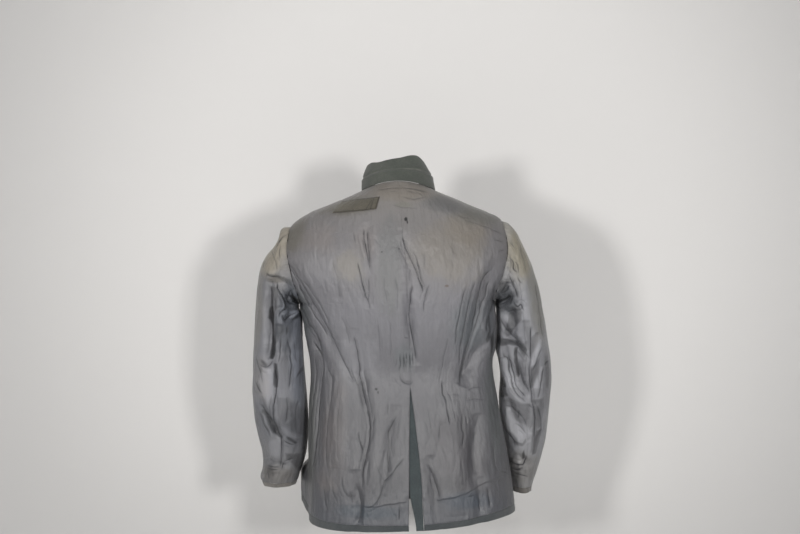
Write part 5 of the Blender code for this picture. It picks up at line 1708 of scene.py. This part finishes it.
def collar_surface(level, angle):
    """The collar's outer face: level 0 at the neck seam, 1 at the fold, 2 at the top edge."""
    seam = Section(*BODY["neck seam"])._asdict()
    base = [size + (SEWN_GAP if word.startswith("z_") else 0.0) for word, size in seam.items()]
    points = section_points([base, COLLAR["fold"], COLLAR["top edge"]], level, angle)
    turn = np.mod(np.asarray(angle) + math.pi, 2 * math.pi) - math.pi
    low = np.interp(turn, CREST_ANGLES, CREST_RISE)
    soft = sum(np.interp(turn + d, CREST_ANGLES, CREST_RISE) for d in (-0.12, -0.06, 0.06, 0.12))
    points[..., 2] += (low + soft) / 5 * np.clip(np.asarray(level) - 1.0, 0.0, 1.0)
    return points


collar_wool = wool_cloth(
    "collar wool",
    (0.074, 0.080, 0.070),
    (0.140, 0.145, 0.125),
    (0.052, 0.059, 0.052),
    (0.150, 0.148, 0.130),
)
for name, low, high, rows, cut in (
    ("collar_stand", 0.0, 1.0, 22, (0.512, 0.032, 0.0124)),
    ("collar_fall", 1.016, 2.0, 26, (0.492, 0.052, 0.0114)),
):
    part = np.concatenate([[0.0, 0.02, 0.05], np.linspace(0.09, 0.91, rows), [0.95, 0.98, 1.0]])
    level = (low + (high - low) * part)[:, None]
    half_gap = COLLAR_END_GAP + COLLAR_TOP_SPREAD * smooth(level - 1.0) ** 0.7
    end = math.pi - np.arcsin(np.minimum(half_gap / COLLAR_RADIUS, 1.0))
    spread = np.linspace(-0.982, 0.982, 196)
    angle = end * np.concatenate([[-1.0, -0.997, -0.991], spread, [0.991, 0.997, 1.0]])
    points = collar_surface(level, angle)
    out = normals(collar_surface, level + 0.0 * angle, angle)
    to_end = (end - np.abs(angle)) * COLLAR_RADIUS
    high_up, low_down = (1 - part)[:, None] * 0.030, part[:, None] * 0.030
    top_round = (0.0013 if high > 1.5 else 0.0003) * turned_in(high_up, 0.003)
    end_round = 0.0011 * turned_in(to_end, 0.003)
    foot_round = 0.0004 * turned_in(low_down, 0.002)
    turned = np.minimum(top_round + end_round + foot_round, 0.0013)
    round_it = angle * COLLAR_RADIUS
    lumps = 0.0006 * ripple(round_it / 0.016, level * 2.2 + 3.0, 81)
    lumps = lumps + 0.0009 * ripple(round_it / 0.05, level * 1.1, 83)
    past = level - 1.06 - 0.10 * np.cos(angle * 1.2 - 0.4)
    roll = 0.0016 * bell(past, 0.10) - 0.0008 * bell(past + 0.22, 0.10)
    shape = (lumps + roll) * smooth(to_end / 0.004) * smooth(level / 0.3)
    outer = points + out * (shape - turned)[..., None]
    inner = points + out * (shape * 0.8 - COLLAR_WALL + turned)[..., None]
    worn = bell(past + 0.02, 0.045) * (0.45 + 0.55 * ripple(round_it / 0.007, level * 3.0, 87))
    worn = np.clip(worn, 0.0, 1.0) * smooth((1.2 - np.abs(angle)) / 0.5)
    made = shell(name + "_cloth", outer, inner, collar_wool, collar_wool, worn)
    cloth_for(made, name, "field_wool", *cut)

# --------------------------------------
# Neck patch. A bare strip of brownish cloth, sewn to the lining below the collar on the
# wearer's left. One end is turned under in a triangle.
# --------------------------------------

PATCH_WALL, PATCH_LIFT = 0.0010, 0.0008
PATCH_LENGTH, PATCH_HEIGHT = 0.09, 0.026
PATCH_CORNERS = [(-0.138, -0.051), (-0.048, -0.044), (-0.041, -0.018), (-0.118, -0.026)]


def find_on_back(x, z):
    """The level and angle of the point of the back with this x and z."""
    level, angle = 2.0, x / 0.25
    for _ in range(30):
        here = body(level, angle)
        step = 1e-4
        by_level = (body(level + step, angle) - here) / step
        by_angle = (body(level, angle + step) - here) / step
        slopes = np.array([[by_level[0], by_angle[0]], [by_level[2], by_angle[2]]])
        move = np.linalg.solve(slopes, [x - here[0], z - here[2]])
        level += float(np.clip(move[0], -0.5, 0.5))
        angle += float(np.clip(move[1], -0.2, 0.2))
    return np.array([level, angle])


def on_patch(across, down, out):
    """A point of the back under the patch, a distance out, and the level and angle there."""
    a, d = across[..., None], down[..., None]
    place = (1 - d) * ((1 - a) * high_left + a * high_right) + d * ((1 - a) * low_left + a * low_right)
    level, angle = np.moveaxis(place, -1, 0)
    return body_cloth(level, angle, out)[0], level, angle


patch_cloth = wool_cloth(
    "patch cloth",
    (0.104, 0.094, 0.072),
    (0.165, 0.152, 0.124),
    (0.074, 0.067, 0.052),
    (0.014, 0.012, 0.010),
)
low_left, low_right, high_right, high_left = (find_on_back(x, z) for x, z in PATCH_CORNERS)
down = np.concatenate([[0.0, 0.03, 0.08], np.linspace(0.14, 0.86, 18), [0.92, 0.97, 1.0]])
across = np.concatenate([[0.0, 0.008, 0.02], np.linspace(0.04, 0.96, 60), [0.98, 0.992, 1.0]])
across, down = np.meshgrid(across, down)
to_side, to_end = np.minimum(down, 1 - down), np.minimum(across, 1 - across)
edge = np.minimum(to_side * PATCH_HEIGHT, to_end * PATCH_LENGTH)
turned = 0.0006 * turned_in(edge, 0.0014)
sewn = -0.0003 * bell(edge - 0.0026, 0.0008)
hem_line = 0.0005 * smooth((across - 0.905) / 0.006)
lumps = 0.0004 * np.abs(ripple(across * 11, down * 4, 91))
outer, *_ = on_patch(across, down, PATCH_LIFT + PATCH_WALL - turned + sewn + hem_line + lumps)
inner, *_ = on_patch(across, down, PATCH_LIFT + 0.0 * turned)
seams = bell(edge - 0.0012, 0.0010) * (across > 0.02)
seams += bell((across - 0.875) * PATCH_LENGTH, 0.0010)
seams += bell((1 - across) * PATCH_LENGTH - 0.020 + (1 - down) * 0.007, 0.0009) * (down > 0.25)
made = shell("neck_patch_cloth", outer, inner, patch_cloth, patch_cloth, np.clip(seams, 0.0, 1.0))
cloth_for(made, "neck_patch", "patch_cloth", 0.096, 0.041, 0.0031, "laid", rests_on=["back_left"])

# --------------------------------------
# Buttons. Five domed metal buttons with short shanks, sewn down the middle of the front on
# the wool side, which is the inside here.
# --------------------------------------

BUTTON_COUNT, BUTTON_TOP_Z, BUTTON_PITCH = 5, -0.122, 0.098
BUTTON_RADIUS, BUTTON_HEIGHT, BUTTON_RIM, SPOKES = 0.0105, 0.0065, 0.0024, 40


def tube(rings, around, first=0):
    """The faces of a tube through rings of points, from the number of its first point."""
    steps = [(k, (k + 1) % around) for k in range(around)]
    starts = range(first, first + (rings - 1) * around, around)
    return [(a + k, a + n, a + around + n, a + around + k) for a in starts for k, n in steps]


button_metal, tree, shader = new_material("grey button metal", 0.42, Metallic=1.0)
place = add(tree, "TexCoord").outputs["Object"]
cloud = remapped(noise(place, 160.0, 3.0, 0.6), 0.35, 0.65)
tone = mixed(cloud, (0.20, 0.19, 0.17), (0.36, 0.35, 0.32))
plug(shader, {"Base Color": tone, "Normal": bumped(noise(place, 900.0, 3.0, 0.6), 0.0003, 0.6)})

# The button's outline from its shank to its dome: radius and height.
outline = [(0.0016, 0.0), (0.0030, 0.0001), (0.0030, 0.0016), (0.0055, 0.0018)]
outline += [(0.0092, 0.0017), (0.0101, 0.0019), (BUTTON_RADIUS, BUTTON_RIM)]
for rise in np.linspace(0.12, 1.45, 11):
    high = BUTTON_RIM + (BUTTON_HEIGHT - BUTTON_RIM) * math.sin(rise)
    outline.append((BUTTON_RADIUS * math.cos(rise), high))
turn = np.linspace(0.0, 2 * math.pi, SPOKES, endpoint=False)[:, None]
for number in range(BUTTON_COUNT):
    level = np.array(level_at_height(BUTTON_TOP_Z - number * BUTTON_PITCH, "z_front"))
    centre, _ = body_cloth(level, np.array(math.pi), np.array(-2 * UNDER))
    way = -normals(body, level, np.array(math.pi))
    side = unit(np.cross(way, [1.0, 0.0, 0.0]))
    spoke = np.cos(turn) * side + np.sin(turn) * np.cross(way, side)
    points = [centre + way * high + spoke * radius for radius, high in outline]
    points = np.concatenate([*points, [centre + way * BUTTON_HEIGHT]])
    top = len(points) - 1
    crown = [(top - SPOKES + k, top - SPOKES + (k + 1) % SPOKES, top) for k in range(SPOKES)]
    faces = [tuple(range(SPOKES))[::-1], *tube(len(outline), SPOKES), *crown]
    mesh = meshed("button", points.tolist(), faces, button_metal)
    mesh.shade_smooth()
    mesh.set_sharp_from_angle(angle=math.radians(45))
    made = placed(f"button_{number + 1}_dome", mesh)
    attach(made, "root")
    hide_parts(f"button_{number + 1}")

# --------------------------------------
# Hand sewing. Short slanted stitches of grey thread fell the lining round the armholes, the
# neck, the hem, the vent and the cuffs, and hold the patch.
# --------------------------------------

STITCH_LENGTH, THREAD_RADIUS, THREAD_SIDES = 0.0024, 0.00028, 5

# Along a stitch: the share of its length, and its height and size in thread radii.
STITCH = ((-0.5, -1.2, 0.35), (-0.3, 0.15, 0.9), (0.0, 0.45, 1.0), (0.3, 0.15, 0.9), (0.5, -1.2, 0.35))

thread, tree, shader = new_material("grey thread", 0.7)
wound = noise(add(tree, "TexCoord").outputs["Object"], 2500.0, 1.0, 0.5)
plug(shader, {"Base Color": mixed(wound, (0.11, 0.11, 0.11), (0.22, 0.21, 0.20))})


def stitches(name, middle, way, out):
    """Short threads, each along its own way, with its two ends dipping into the cloth."""
    way = unit(way)
    side = unit(np.cross(way, out))
    points, faces = [], []
    for along, high, size in STITCH:
        for k in range(THREAD_SIDES):
            turn = 2 * math.pi * k / THREAD_SIDES
            spot = middle + way * along * STITCH_LENGTH
            spot = spot + out * THREAD_RADIUS * (high + size * math.sin(turn))
            points.append(spot + side * THREAD_RADIUS * size * math.cos(turn))
    points = np.stack(points, 1)
    count = points.shape[1]
    for base in range(0, len(points) * count, count):
        faces += tube(len(STITCH), THREAD_SIDES, base)
        faces.append(tuple(range(base, base + THREAD_SIDES))[::-1])
        faces.append(tuple(range(base + count - THREAD_SIDES, base + count)))
    mesh = meshed(name, points.reshape(-1, 3).tolist(), faces, thread)
    mesh.shade_smooth()
    made = placed(name, mesh)
    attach(made, "root")


def stitch_line(name, place, pitch, slant):
    """Stitches at even steps along a line of the cloth, given by place(share) -> point, out."""
    share = np.linspace(0.0, 1.0, 2001)
    line, out = place(share)
    run = walked(line)
    count = max(int(run[-1] / pitch), 2)
    uneven = np.random.default_rng(len(name)).uniform(-0.25, 0.25, (count, 2))
    at = np.interp((np.arange(count) + 0.5 + uneven[:, 0]) * run[-1] / count, run, share)
    spot, out = place(at)
    ahead, _ = place(np.minimum(at + 0.001, 1.0))
    behind, _ = place(np.maximum(at - 0.001, 0.0))
    along = unit(ahead - behind)
    turn = slant + 0.25 * uneven[:, 1:]
    stitches(name, spot, along * np.cos(turn) + np.cross(out, along) * np.sin(turn), out)


def on_body(level, angle):
    return body_cloth(level, angle)[0], normals(body, level, angle)


for side, word in ((-1, "left"), (1, "right")):
    def round_sleeve(share, side=side, row=0.09, seen=0.39):
        row, turn = row + 0.0 * share, 2 * math.pi * share
        spot, _ = sleeve_cloth(side, row, turn)
        return spot, normals(sleeve_surface(side), 0.0 * row + seen, turn, -side)

    def cuff(share, sleeve=round_sleeve):
        row = CUFF_LINING_END - 0.03
        return sleeve(share, row=row, seen=row)

    def hem(share, side=side):
        start = float(vent_edge(last, side)[0])
        angle = start + (side * (math.pi - 0.02) - start) * share
        return on_body(lining_level(HEM_LEVEL - 0.012, angle), angle)

    def vent(share, side=side):
        level = vent_top + 0.05 + (HEM_LEVEL - 0.3 - vent_top) * share
        angle = angle_at_x(level, vent_x(level, side) + side * 0.0022)
        return on_body(lining_level(level, angle), angle)

    stitch_line("armhole_stitches_" + word, round_sleeve, 0.0042, 1.25)
    stitch_line("cuff_stitches_" + word, cuff, 0.0050, 0.8)
    stitch_line("hem_stitches_" + word, hem, 0.0058, 0.8)
    stitch_line("vent_stitches_" + word, vent, 0.0070, 0.1)


def neck(share):
    angle = -math.pi + 0.02 + (2 * math.pi - 0.04) * share
    spot, _ = body_cloth(np.full(share.shape, 0.05), angle)
    return spot, normals(body, np.full(share.shape, 0.1), angle)


def patch_edge(share):
    low, high = 0.035, 0.965
    side = np.clip(share * 4, 0, 3.9999).astype(int)
    corners = np.array([(low, low), (high, low), (high, high), (low, high), (low, low)])
    corners[:, 1] = 0.07 + 0.86 * corners[:, 1]
    step = corners[side + 1] - corners[side]
    across, down = (corners[side] + step * (share * 4 - side)[:, None]).T
    spot, level, angle = on_patch(across, down, PATCH_LIFT + PATCH_WALL - 0.0002 + 0.0 * share)
    return spot, normals(body, level, angle)


stitch_line("neck_stitches", neck, 0.0052, 1.0)
stitch_line("patch_stitches", patch_edge, 0.0040, 0.0)

# --------------------------------------
# Studio. A pale wall behind, seen from its front only, a pale floor, two small lights beside
# the camera, broad ones above and from the front of the wearer, and even light all round.
# --------------------------------------

WALL_Y, FLOOR_Z = 0.46, -1.05
plaster, tree, shader = new_material("pale wall", 0.95)
place = add(tree, "TexCoord").outputs["Object"]
# The wall is painted darker away from a point behind the garment: painted light falloff towards its
# edges.
far = vectors("LENGTH", vectors("SUBTRACT", place, (0.10, WALL_Y, 0.0))[0])[1]
tone = mixed(remapped(far, 0.5, 1.4), (0.775, 0.764, 0.757), (0.560, 0.553, 0.550))
plug(shader, {"Base Color": tone})
clear = add(tree, "BsdfTransparent").outputs[0]
shadow = add(tree, "LightPath").outputs["Is Shadow Ray"]
behind = maths("MAXIMUM", add(tree, "NewGeometry").outputs["Backfacing"], shadow)
either = add(tree, "MixShader", {0: behind, 1: shader.outputs[0], 2: clear}).outputs[0]
plug(tree.nodes["Material Output"], {0: either})
ground, _, _ = new_material("pale floor", 0.95, Base_Color=(0.72, 0.72, 0.71, 1.0))
wall = [(x, WALL_Y, z) for x, z in ((-6, FLOOR_Z), (6, FLOOR_Z), (6, 4), (-6, 4))]
floor = [(x, y, FLOOR_Z) for x, y in ((-6, -6), (6, -6), (6, 6), (-6, 6))]
for name, corners, finish in (("backdrop", wall, plaster), ("floor", floor, ground)):
    placed(name, meshed(name, corners, [(0, 1, 2, 3)], finish))

LIGHTS = {
    "key light left": ((-1.20, -2.40, -0.10), 0.28, 29.0),
    "key light right": ((0.85, -2.40, -0.10), 0.28, 26.0),
    "top light": ((0.0, -1.30, 2.20), 1.6, 20.0),
    "front fill": ((0.0, 2.60, 0.40), 2.0, 14.0),
}
for name, (spot, size, power) in LIGHTS.items():
    lamp = bpy.data.lights.new(name, "AREA")
    lamp.size, lamp.energy, lamp.color = size, power, (1.0, 0.985, 0.96)
    made = placed(name, lamp)
    made.location = spot
    way = mathutils.Vector((0.0, 0.0, -0.28)) - mathutils.Vector(spot)
    made.rotation_mode = "QUATERNION"
    made.rotation_quaternion = way.to_track_quat("-Z", "Y")

world = bpy.context.scene.world or bpy.data.worlds.new("room")
bpy.context.scene.world = world
world.use_nodes = True
plug(world.node_tree.nodes["Background"], {0: (0.95, 0.97, 1.0, 1.0), 1: 0.19})
bpy.context.scene.view_settings.view_transform = "Standard"

lens = bpy.data.cameras.new("camera")
lens.lens, lens.sensor_width, lens.clip_start, lens.clip_end = 50.0, 36.0, 0.05, 60.0
camera = placed("camera", lens)
camera.location = (0.0, -2.35, -0.161)
camera.rotation_euler = (math.pi / 2, 0.0, 0.0)
bpy.context.scene.camera = camera
